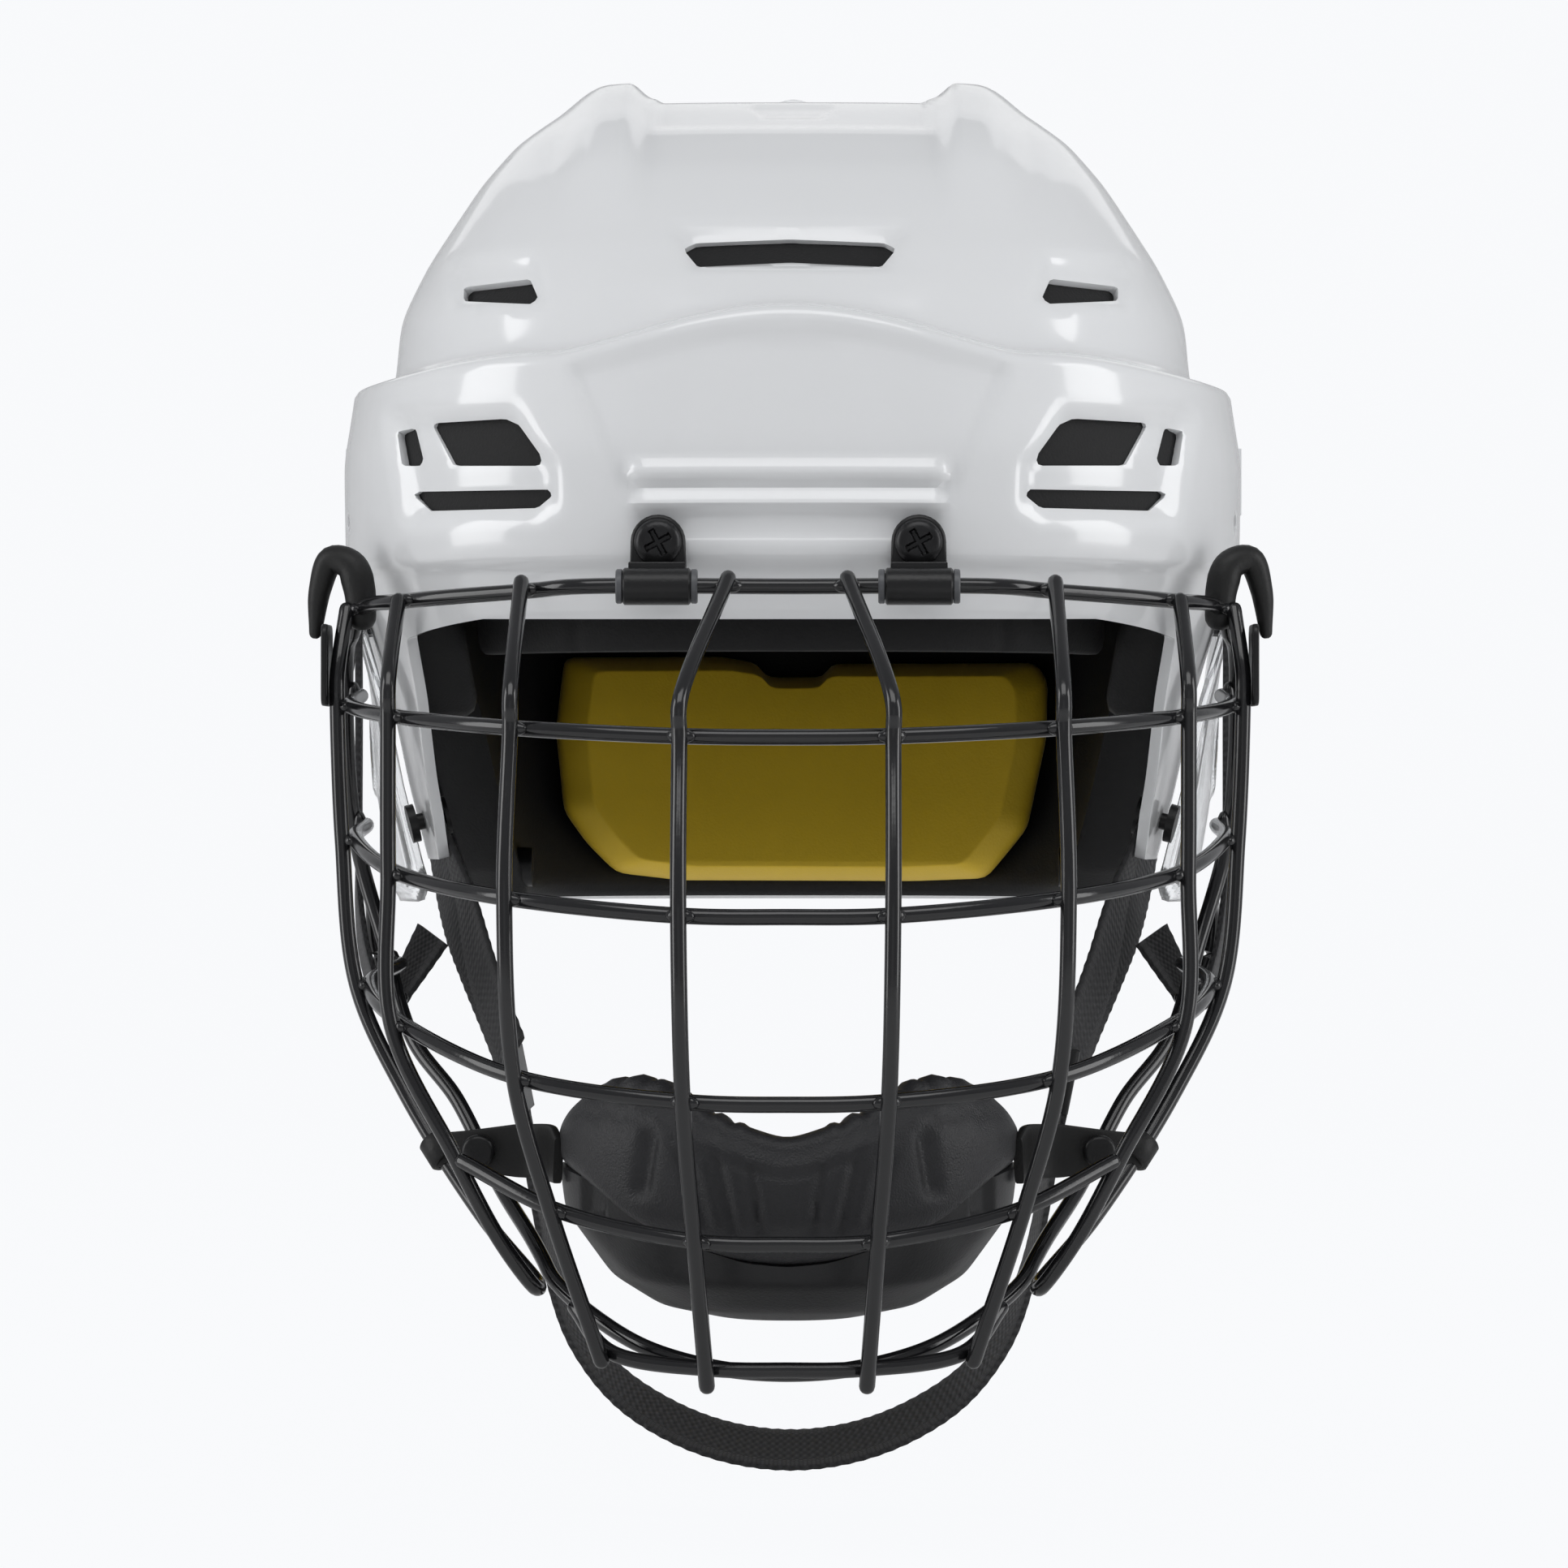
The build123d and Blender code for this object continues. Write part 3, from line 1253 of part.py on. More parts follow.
def save_all():
    """Write every sub-part."""
    os.makedirs("parts", exist_ok=True)
    save("front_shell", make_front_shell())
    save("rear_shell", make_rear_shell())
    save("front_liner", make_front_liner())
    save("rear_liner", make_rear_liner())
    save("brow_pad", make_brow_pad())
    save("temple_pads", make_temple_pads())
    save("crown_pads", make_crown_pads())
    save("rear_pad", make_rear_pad())
    for name, part in make_cage().items():
        save(name, part)
    save("cage_tags", make_cage_tags())
    save("cage_hooks", both_sides(make_cage_hook()))
    save("hinge_clips", pair(make_clip))
    save("clip_bushes", pair(make_bush))
    save("clip_screws", pair(make_screw))
    save("clip_nuts", pair(make_nut))
    for name, part in (
        ("ear_guard", make_ear_guard()), ("lock_base", make_lock_base()), ("lock_lever", make_lock_lever()),
    ):
        save(f"{name}_right", part)
        save(f"{name}_left", mirrored(part))
    save("guard_screws", both_sides(Compound(children=make_guard_screws())))
    save("lock_pins", both_sides(lock_axis(lock_pin, lock_rim - running_gap)))
    save("chin_cup_shell", make_cup_shell())
    save("chin_cup_pad", make_cup_pad())
    save("chin_cup_arms", both_sides(make_cup_arm()))
    save("chin_cup_buttons", both_sides(make_cup_button()))
    save("cage_straps", both_sides(make_cage_strap()))
    save("cage_strap_snaps", both_sides(cage_strap_stud(0)))
    save("harness_front_straps", both_sides(make_front_strap()))
    save("harness_rear_straps", both_sides(make_rear_strap()))
    save("strap_sliders", both_sides(make_slider()))
    save("chin_strap", ribbon(chin_run(), chin_strap_across, harness_width, webbing))
    save("strap_anchors", both_sides(anchor(0)))
    save("pad_rivets", both_sides(pad_rivet(0)))


save_all()
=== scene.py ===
import bpy
import bmesh
import math
import numpy as np
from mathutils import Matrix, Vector


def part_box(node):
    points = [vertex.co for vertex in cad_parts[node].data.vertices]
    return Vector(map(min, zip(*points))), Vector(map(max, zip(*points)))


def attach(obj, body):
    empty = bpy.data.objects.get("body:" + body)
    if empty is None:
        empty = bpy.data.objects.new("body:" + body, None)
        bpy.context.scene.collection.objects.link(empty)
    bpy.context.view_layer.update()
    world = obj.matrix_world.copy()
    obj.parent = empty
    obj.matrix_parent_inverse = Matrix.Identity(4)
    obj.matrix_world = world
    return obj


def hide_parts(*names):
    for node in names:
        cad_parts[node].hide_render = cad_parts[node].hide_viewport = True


# Ice hockey helmet with a full wire cage, dressed over its CAD frame.
# Shapes are worked out in millimetres and put into the meshes in metres.

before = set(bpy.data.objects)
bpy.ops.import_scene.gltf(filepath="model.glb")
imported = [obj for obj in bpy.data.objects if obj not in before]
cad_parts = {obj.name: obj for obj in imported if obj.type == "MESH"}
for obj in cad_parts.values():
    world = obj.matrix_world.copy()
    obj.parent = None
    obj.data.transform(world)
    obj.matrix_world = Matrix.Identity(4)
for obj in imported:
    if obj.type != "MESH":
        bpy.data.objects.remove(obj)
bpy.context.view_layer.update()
MM = 0.001
OPEN, CAPPED, RING = "open", "capped", "ring"

# Sizes of the shell
WIDTH, FRONT, BACK = 108.5, 139.0, 142.0
BAND_TOP, CROWN_TOP = 98.0, 166.0
WALL = 2.6
FOAM = 13.0
POWER = 2.6
STRAIGHT_FRONT, STRAIGHT_BACK = 15.0, 35.0
SPLIT = 20.0
SLIDE_GAP = 0.6
FOAM_GAP = 0.6
SHELL_EDGE_ROUND, SHELL_EDGE_ANGLE = 0.45, 50
HEAD_MIDDLE = (0, 0, 60)
FOAM_STEP = 2.4

# Levels of the band and the crown: height, half width, front and back shares
BAND = [
    (-0.430, 0.745, 0.805, 0.745), (-0.205, 0.810, 0.865, 0.805), (0.000, 0.857, 0.905, 0.880),
    (0.205, 0.895, 0.935, 0.930), (0.408, 0.950, 0.964, 0.972), (0.540, 0.997, 0.986, 0.986),
    (0.785, 1.000, 1.000, 1.000), (1.000, 0.977, 0.978, 0.979),
]
CROWN = [
    (0.602, 0.888, 0.870, 0.986), (0.681, 0.876, 0.827, 0.958), (0.753, 0.815, 0.763, 0.923),
    (0.813, 0.757, 0.683, 0.866), (0.873, 0.698, 0.590, 0.789), (0.934, 0.620, 0.460, 0.676),
    (0.982, 0.522, 0.310, 0.521), (1.000, 0.452, 0.230, 0.437),
]
ROOF = [(1.004, 0.36, 0.17, 0.36), (1.006, 0.18, 0.125, 0.29), (1.007, 0.0, 0.108, 0.246)]
FRONT_RIM = [
    (-170, 36.5), (-112, 38.0), (-82, 34.0), (-64, -8.0), (-56, -18.0), (-38, -18.0), (-26, -8.0), (-18, 17.6),
    (-8, 26.0), (20, 27.0),
]
REAR_RIM = [(-9, 27.0), (20, 27.0), (28, 14.7), (40, -22.0), (52, -30.0), (170, -30.0)]


# Meshes
def turn_outwards(sheet, middle):
    """Turns the faces of an open sheet away from its middle."""
    facing = sum(face.calc_area() * face.normal.dot(face.calc_center_median() - middle) for face in sheet.faces)
    if facing < 0:
        bmesh.ops.reverse_faces(sheet, faces=sheet.faces)


def mesh_piece(name, verts, faces, body, material, stands_for=None, sharp=35, merge=0.02, uv=None,
               middle=None):
    """A piece from points in millimetres: doubles merged, normals outwards, smooth below the sharp angle.

    An open sheet gives its middle, which its faces turn away from.
    """
    mesh = bpy.data.meshes.new(name)
    mesh.from_pydata((np.asarray(verts) * MM).tolist(), [], faces)
    if uv is not None:
        layer = mesh.uv_layers.new(name="UVMap")
        loops = np.empty(len(mesh.loops), dtype=np.int32)
        mesh.loops.foreach_get("vertex_index", loops)
        layer.data.foreach_set("uv", np.asarray(uv)[loops].ravel())
    solid = bmesh.new()
    solid.from_mesh(mesh)
    bmesh.ops.remove_doubles(solid, verts=solid.verts, dist=merge * MM)
    bmesh.ops.recalc_face_normals(solid, faces=solid.faces)
    if middle is not None:
        turn_outwards(solid, Vector(middle) * MM)
    solid.to_mesh(mesh)
    solid.free()
    mesh.shade_smooth()
    mesh.set_sharp_from_angle(angle=math.radians(sharp))
    obj = bpy.data.objects.new(name, mesh)
    bpy.context.scene.collection.objects.link(obj)
    obj.data.materials.append(material)
    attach(obj, body)
    if stands_for:
        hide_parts(stands_for)
    return obj


def quads(rows, cols, close_rows=False, close_cols=True, start=0):
    """Faces of a grid, with its last row or column joined to its first where it closes."""
    r = np.arange(rows if close_rows else rows - 1)[:, None]
    c = np.arange(cols if close_cols else cols - 1)[None, :]
    up, on = (r + 1) % rows, (c + 1) % cols
    faces = np.stack(np.broadcast_arrays(r * cols + c, r * cols + on, up * cols + on, up * cols + c), axis=-1)
    return (faces.reshape(-1, 4) + start).tolist()


def joined(name, parts, body, material, stands_for=None, sharp=50, uvs=None, merge=0.02):
    """One piece from grids of points round an axis, each with its ends: OPEN, CAPPED with a face, or a RING,
    where the last row meets the first."""
    verts, faces, start = [], [], 0
    for points, ends in parts:
        rows, cols = points.shape[:2]
        faces += quads(rows, cols, ends == RING, True, start)
        if ends == CAPPED:
            last = start + (rows - 1) * cols
            faces += [list(range(start, start + cols))[::-1], list(range(last, last + cols))]
        verts.append(points.reshape(-1, 3))
        start += rows * cols
    uv = None if uvs is None else np.concatenate([part.reshape(-1, 2) for part in uvs])
    return mesh_piece(name, np.concatenate(verts), faces, body, material, stands_for, sharp, merge, uv)


def both_sides(grid, ends):
    """A grid and its mirror, for joined."""
    return [(grid, ends), (flipped(grid), ends)]


def box_mm(name):
    """Lowest and highest corner of a CAD node's box in millimetres."""
    return (np.array(corner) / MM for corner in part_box(name))


def flipped(points):
    """The same points on the other side of the head."""
    return points * np.array([-1.0, 1.0, 1.0])


def smoothstep(x):
    """0 below 0, 1 above 1 and an even rise between."""
    x = np.clip(x, 0, 1)
    return x * x * (3 - 2 * x)


def unit(v):
    """Vectors of length one."""
    return v / np.linalg.norm(v, axis=-1, keepdims=True)


def run_along(points):
    """Length from the first point of a line to each of its points."""
    return np.concatenate([[0], np.cumsum(np.linalg.norm(np.diff(points, axis=0), axis=1))])


def columns_at(places, run, columns):
    """Each column of a table read at places along its run."""
    return np.stack([np.interp(places, run, column) for column in columns.T], axis=1)


def blurred(line, reach, spread, **ends):
    """Columns of a line averaged over their neighbours by a bell curve of the given spread."""
    bell = np.exp(-(np.arange(-reach, reach + 1) / spread) ** 2)
    padded = np.pad(line, ((reach, reach), (0, 0)), **ends)
    return np.stack([np.convolve(column, bell / bell.sum(), "valid") for column in padded.T], axis=1)


ODD_ENDS = {"mode": "reflect", "reflect_type": "odd"}


def oval_turn(turn, power=POWER):
    """Cosine and sine of a turn round a superellipse: each to the power of 2 over the given one."""
    cos, sin = np.cos(turn), np.sin(turn)
    return np.sign(cos) * np.abs(cos) ** (2 / power), np.sign(sin) * np.abs(sin) ** (2 / power)


def curve_through(points, step=1.5):
    """Even points on a centripetal curve through the given ones: each run is a cubic between their slopes."""
    p = np.asarray(points, float)
    d = np.linalg.norm(np.diff(p, axis=0), axis=1) ** 0.5
    t = np.concatenate([[0], np.cumsum(d)])
    slope = np.gradient(p, t, axis=0, edge_order=1)
    fine = np.concatenate([np.linspace(*ends, 40, endpoint=False) for ends in zip(t, t[1:])] + [[t[-1]]])
    i = np.clip(np.searchsorted(t, fine, side="right") - 1, 0, len(t) - 2)
    h = (t[i + 1] - t[i])[:, None]
    s = ((fine - t[i])[:, None]) / h
    path = ((2 * s ** 3 - 3 * s ** 2 + 1) * p[i] + (s ** 3 - 2 * s ** 2 + s) * h * slope[i]
            + (3 * s ** 2 - 2 * s ** 3) * p[i + 1] + (s ** 3 - s ** 2) * h * slope[i + 1])
    run = run_along(path)
    return columns_at(np.linspace(0, run[-1], max(int(run[-1] / step), 3) + 1), run, path)


def carry(path, across, section):
    """A section carried along a path: each point is the path's point plus the section's two shares of
    the across direction and of the direction square to it and to the path."""
    tangent = unit(np.gradient(path, axis=0))
    side = np.broadcast_to(np.asarray(across, float), path.shape)
    side = unit(side - tangent * np.sum(side * tangent, axis=1, keepdims=True))
    normal = np.cross(tangent, side)
    section = np.broadcast_to(section, (len(path),) + section.shape[-2:])
    return path[:, None] + section[..., :1] * side[:, None] + section[..., 1:] * normal[:, None]


def circle_points(sides):
    """Cosines and sines round a circle."""
    angle = np.linspace(0, 2 * math.pi, sides, endpoint=False)
    return np.stack([np.cos(angle), np.sin(angle)], axis=-1)


def tube(path, radius, across=(1, 0, 0), sides=14, round_ends=True):
    """Round wire: a circle carried along a path, drawn in to a dome at both ends."""
    radius = np.broadcast_to(np.asarray(radius, float), (len(path),)).copy()
    if round_ends:
        tangent = unit(np.gradient(path, axis=0))
        turn = np.linspace(0, math.pi / 2, 5)[1:-1]
        tip, narrow = np.sin(turn)[:, None], np.cos(turn)
        ahead = path[-1] + radius[-1] * tip * tangent[-1]
        tail = path[0] - radius[0] * tip * tangent[0]
        path = np.concatenate([tail[::-1], path, ahead])
        radius = np.concatenate([radius[0] * narrow[::-1], radius, radius[-1] * narrow])
    return carry(path, across, radius[:, None, None] * circle_points(sides)[None])


def lathe(start, axis, profile, sides=40):
    """A profile of (distance along the axis, radius) turned round an axis."""
    axis = unit(np.asarray(axis, float))
    side = unit(np.cross(axis, (0.0, 0, 1) if abs(axis[2]) < 0.9 else (1.0, 0, 0)))
    turn = circle_points(sides)
    ring = turn[:, :1] * side + turn[:, 1:] * np.cross(axis, side)
    profile = np.asarray(profile, float)
    return np.asarray(start, float) + profile[:, :1, None] * axis + profile[:, 1:2, None] * ring[None]


def button_profile(depth, radius, bevel):
    """Half section of a disc with rounded edges, from its back to its face."""
    turn = np.linspace(0, math.pi / 2, 5)
    rows = [(0, 0.01), (0, radius)]
    rows += [(depth - bevel + bevel * math.sin(a), radius - bevel + bevel * math.cos(a)) for a in turn]
    rows += [(depth, radius * 0.4), (depth, 0.01)]
    return rows


def slab(outline, start, direction, depth, bevel):
    """An outline (points round a convex shape) carried along a direction, with both rims rounded."""
    outline = np.asarray(outline, float)
    centre = outline.mean(axis=0)
    direction = unit(np.asarray(direction, float))
    reach = np.linalg.norm(outline - centre, axis=1, keepdims=True)
    rows = [outline * 0 + centre]
    for turn in np.linspace(0, math.pi / 2, 4):
        inset = bevel * (1 - math.sin(turn))
        rows.append(outline - (outline - centre) / reach * inset + direction * bevel * (1 - math.cos(turn)))
    far = [row + direction * (depth - 2 * np.sum((row - centre) * direction, axis=1, keepdims=True))
           for row in rows[::-1]]
    return np.stack(rows + far) + (np.asarray(start, float) - centre)


# Distances to outlines
def outline_distance(x, z, outline, soften=0.0):
    """Distance to an outline, less than 0 inside it. soften rounds its corners."""
    points = np.asarray(outline, float)
    centre = (points.min(axis=0) + points.max(axis=0)) / 2
    half = (points.max(axis=0) - points.min(axis=0)) / 2
    points = centre + (points - centre) * (1 - soften / half)
    best = np.full(x.shape, 1e9)
    inside = np.zeros(x.shape, bool)
    for a, b in zip(points, np.roll(points, -1, axis=0)):
        ex, ez = b - a
        wx, wz = x - a[0], z - a[1]
        share = np.clip((wx * ex + wz * ez) / (ex * ex + ez * ez), 0, 1)
        best = np.minimum(best, np.hypot(wx - ex * share, wz - ez * share))
        with np.errstate(divide="ignore", invalid="ignore"):
            crosses = ((a[1] > z) != (b[1] > z)) & (x < a[0] + ex * (z - a[1]) / (ez if ez else 1e-9))
        inside ^= crosses
    return np.where(inside, -best, best) - soften


# The head's surface
def profile_rows(step):
    """Heights, half widths, front and back reaches up the head, with the corners between the levels rounded.

    The levels are joined by straight runs, sampled every half millimetre and averaged over their neighbours.
    """
    table = [(z * BAND_TOP, w * WIDTH, f * FRONT, b * BACK) for z, w, f, b in BAND]
    table = np.array(table + [(z * CROWN_TOP, w * WIDTH, f * FRONT, b * BACK) for z, w, f, b in CROWN + ROOF])
    run = run_along(table[:, :2])
    at = np.arange(0, run[-1], 0.5)
    fine = columns_at(at, run, table)
    near_ledge = np.exp(-((fine[:, 0] - BAND_TOP) / 7.0) ** 2)[:, None]
    broad, narrow = (blurred(fine, 14, spread, **ODD_ENDS) for spread in (7.0, 2.4))
    smooth = broad * (1 - near_ledge) + narrow * near_ledge
    smooth[-1] = fine[-1]
    pick = np.linspace(0, len(at) - 1, max(int(run[-1] / step), 8))
    return columns_at(pick, np.arange(len(at)), smooth)


def plan_turns(step, heading):
    """Turns round the plan arc of one end, evenly spaced along the band."""
    turn = np.linspace(0, math.pi, 1500)
    x, y = oval_turn(turn)
    reach = (FRONT - STRAIGHT_FRONT) if heading < 0 else (BACK - STRAIGHT_BACK)
    run = run_along(np.stack([WIDTH * x, reach * y], axis=1))
    return np.interp(np.linspace(0, run[-1], int(run[-1] / step)), run, turn)


def head_grid(rows, turns, sides, heading, depth=0.0):
    """Points of one end of the head, drawn in by depth.

    Each row is a superellipse arc with straight sides: x = half width times cosine to the power 2/2.6, and
    y likewise from the end of the straight side to the reach.
    """
    straight = STRAIGHT_FRONT if heading < 0 else STRAIGHT_BACK
    depth = np.broadcast_to(depth, (len(rows),))
    slope = np.gradient(rows[:, 0]), np.gradient(rows[:, 1])
    lean = np.hypot(*slope) + 1e-9
    drop = depth * np.clip(-slope[1] / lean, 0, 1)
    inward = depth * np.clip(slope[0] / lean, 0, 1) ** 0.5
    half = np.maximum(rows[:, 1] - inward, 0)[:, None]
    reach = np.maximum(rows[:, 2 if heading < 0 else 3] - inward, straight)[:, None]
    cos, sin = oval_turn(turns)
    first = np.broadcast_to(np.asarray(sides, float)[None, :], (len(rows), len(sides)))
    x = np.concatenate([np.broadcast_to(half, first.shape), half * cos, np.broadcast_to(-half, first.shape)],
                       axis=1)
    y = np.concatenate([first, heading * (straight + (reach - straight) * sin), first[:, ::-1]], axis=1)
    z = np.broadcast_to((rows[:, 0] - drop)[:, None], x.shape)
    return np.stack([x, y, z], axis=-1)


def lift_ledge(points):
    """The band's top edge, which arches up over the brow and falls away to the sides."""
    x, y, z = np.moveaxis(points, -1, 0)
    arch = 10.5 * np.cos(np.clip(np.abs(x) / 54, 0, 1) * math.pi / 2) ** 1.4 * smoothstep((-y - 30) / 60)
    fall = 4.4 * smoothstep((np.abs(x) - 60) / 48) * smoothstep((60 - y) / 90)
    near = np.where(z < BAND_TOP, smoothstep((z - 74) / 24), smoothstep((128 - z) / 30))
    return points + np.stack([0 * x, 0 * x, near * (arch - fall)], axis=-1)


def surface_normals(points):
    """Directions out of a grid of surface points, away from the head's middle."""
    n = np.cross(np.gradient(points, axis=1), np.gradient(points, axis=0))
    n = n / (np.linalg.norm(n, axis=-1, keepdims=True) + 1e-9)
    sign = np.sign(np.sum(n * (points - np.array(HEAD_MIDDLE)), axis=-1, keepdims=True))
    return n * np.where(sign == 0, 1, sign)


# Vents of the front shell as seen from 1.7 m in front, across and up, with the rounding of their corners.
# Those of the first table are mirrored on the left.
VIEW = 1700.0
SIDE_OPENINGS = [
    ([(87.8, 88.8), (69.8, 90.0), (66.6, 88.4), (60.9, 79.6), (61.2, 78.4), (82.8, 78.4)], 0.9),
    ([(96.8, 87.0), (92.6, 87.6), (90.4, 79.6), (90.8, 78.4), (95.4, 78.4)], 0.8),
    ([(92.6, 71.8), (58.9, 72.6), (58.5, 71.8), (61.6, 68.3), (88.8, 67.3)], 0.8),
    ([(80.6, 121.9), (64.0, 124.4), (62.2, 119.4), (63.6, 118.3), (80.6, 119.2)], 0.8),
]
VENT_CENTRE = [(-25.9, 131.8), (-23.6, 133.0), (0, 134.2), (23.6, 133.0), (25.9, 131.8), (23, 127.4),
               (0, 128.8), (-23, 127.4)]
# Reliefs in the same view, with the rounding of their corners, their depth and the width of their wall
PANEL = ([(-58.0, 114.0), (58.0, 114.0), (37.2, 59.0), (-37.2, 59.0)], 5, 1.7, 3.2)
CENTRE_POCKET = ([(-30.5, 139.5), (30.5, 139.5), (25.5, 125.6), (-25.5, 125.6)], 2.5, 1.8, 5.0)
SIDE_POCKETS = [
    ([(101.5, 94.0), (66.5, 95.2), (55.5, 77.5), (55.0, 66.0), (60.0, 62.8), (97.0, 62.0)], 5, 2.6, 6.5),
    ([(86.5, 129.0), (62.0, 132.0), (58.6, 118.0), (84.5, 116.6)], 3, 1.6, 4.5),
]
# Trapezoid on the crown, (x, z) on its slope, and the two bars on the brow
TOP_MARK = [(-10.4, 165.2), (10.4, 165.2), (7.8, 160.0), (-7.8, 160.0)]
BAR_HALF = 36.2
BAR_LEVELS = [(68.4, 72.9), (61.7, 65.8)]
# Vents of the rear shell in a side view (y, z), on its roof (x, y) and on its back (x, z)
SIDE_VENTS = [[(45, 83), (88, 86.5), (82, 93), (43, 91)], [(48, 56.5), (91, 60), (85, 68), (46, 66.5)]]
ROOF_VENT = [(41, 43), (54, 43), (51, 71), (39, 71)]
BACK_VENT = [(39, 83), (91, 80), (82, 91), (43, 94.5)]
# Cuts in the front shell's sides: the visor bore and the window of the side lock
BORE_Y, BORE_Z, BORE_RADIUS = -58, 62, 2.1
LOCK_WINDOW = [(-10.2, 65.8), (16.2, 65.8), (16.2, 82.2), (-10.2, 82.2)]
NOT_HERE = 99.0
# Share of a cell within which a point slides onto a cut
NEAR_LINE = 0.72


def seen(points):
    """Places as seen from the front: across and up, in millimetres at the head's middle."""
    near = VIEW / (VIEW + points[..., 1])
    return points[..., 0] * near, points[..., 2] * near


def sunk(x, z, outline, soften, depth, width):
    """Depth of a pocket whose wall falls over a width inside its outline."""
    return depth * smoothstep(-outline_distance(x, z, outline, soften) / width)


def relief(points, level):
    """Height of the moulded relief: ridges up, brow panel, vent pockets and the strip under the crease down.

    A ridge rises over 6 mm on its inner side and falls away over 14 mm. Each pocket is an outline's distance
    turned into a wall by a smooth step. level is the height of each row before the band's edge was arched.
    """
    x, y, z = np.moveaxis(points, -1, 0)
    across, up = seen(points)
    ax = np.abs(x)
    front = smoothstep((-y - 40) / 15)
    strip = smoothstep((ax - 33.6) / 6.0) * (1 - smoothstep((ax - 44) / 14))
    lean = smoothstep((y - 40) / 60)
    height = 4.0 * strip * smoothstep((z - 122) / 34) * smoothstep((y + 112) / 44) * (1 - 0.5 * lean)
    centre = 1 - smoothstep((ax - 31.5) / 2.0)
    height = height - 1.1 * centre * smoothstep((z - 155.6) / 2.2)
    on_band = smoothstep((BAND_TOP - 1.5 - level) / 4)
    height = height - front * (on_band * sunk(across, up, *PANEL) + sunk(across, up, *CENTRE_POCKET))
    for pocket in SIDE_POCKETS:
        height = height - front * sunk(np.abs(across), up, *pocket)
    height = height - front * smoothstep((50.2 - z) / 1.6) * 1.3
    height = height - sunk(x, z, TOP_MARK, 1.5, 0.8, 1.2) * (y < 0)
    for low, high in BAR_LEVELS:
        bar = outline_distance(
            x, z, [(-BAR_HALF, low), (BAR_HALF, low), (BAR_HALF, high), (-BAR_HALF, high)], 1.8)
        height = height + front * 1.9 * smoothstep(-(bar - 0.5) / 1.7)
    return height


def rim_distance(y, z, line):
    """Height over a rim given as (y, z) places, square to its slope."""
    ys, zs = np.array(line).T
    return (z - np.interp(y, ys, zs)) / np.hypot(1, np.interp(y, ys, np.gradient(zs, ys)))


def nearest(best, where, distance):
    """The lesser of two distances, the second one only where it applies."""
    return np.minimum(best, np.where(where, distance, NOT_HERE))


def holes_front(points):
    """Distance to the nearest opening or edge of the front shell, less than 0 where there is no shell."""
    x, y, z = np.moveaxis(points, -1, 0)
    across, up = seen(points)
    best = rim_distance(y, z, FRONT_RIM)
    for outline, soften in SIDE_OPENINGS:
        best = nearest(best, y < -35, outline_distance(np.abs(across), up, outline, soften))
    best = nearest(best, y < -35, outline_distance(across, up, VENT_CENTRE, 0.8))
    at_side = np.abs(x) > 85
    best = nearest(best, at_side, np.hypot(y - BORE_Y, z - BORE_Z) - BORE_RADIUS)
    return nearest(best, at_side, outline_distance(y, z, LOCK_WINDOW))


def holes_rear(points):
    """Distance to the nearest opening or edge of the rear shell."""
    x, y, z = np.moveaxis(points, -1, 0)
    ax = np.abs(x)
    best = rim_distance(y, z, REAR_RIM)
    for outline in SIDE_VENTS:
        best = nearest(best, ax > 60, outline_distance(y, z, outline, 2.0))
    best = nearest(best, z > 118, outline_distance(ax, y, ROOF_VENT, 2.0))
    return nearest(best, y > 90, outline_distance(ax, z, BACK_VENT, 2.5))


def sample(grid, row, col):
    """Values of a grid at places between its rows and columns."""
    rows, cols = grid.shape[:2]
    row, col = np.clip(row, 0, rows - 1.001), np.clip(col, 0, cols - 1.001)
    r, c = row.astype(int), col.astype(int)
    fr, fc = row - r, col - c
    if grid.ndim == 3:
        fr, fc = fr[..., None], fc[..., None]
    return ((grid[r, c] * (1 - fc) + grid[r, c + 1] * fc) * (1 - fr)
            + (grid[r + 1, c] * (1 - fc) + grid[r + 1, c + 1] * fc) * fr)


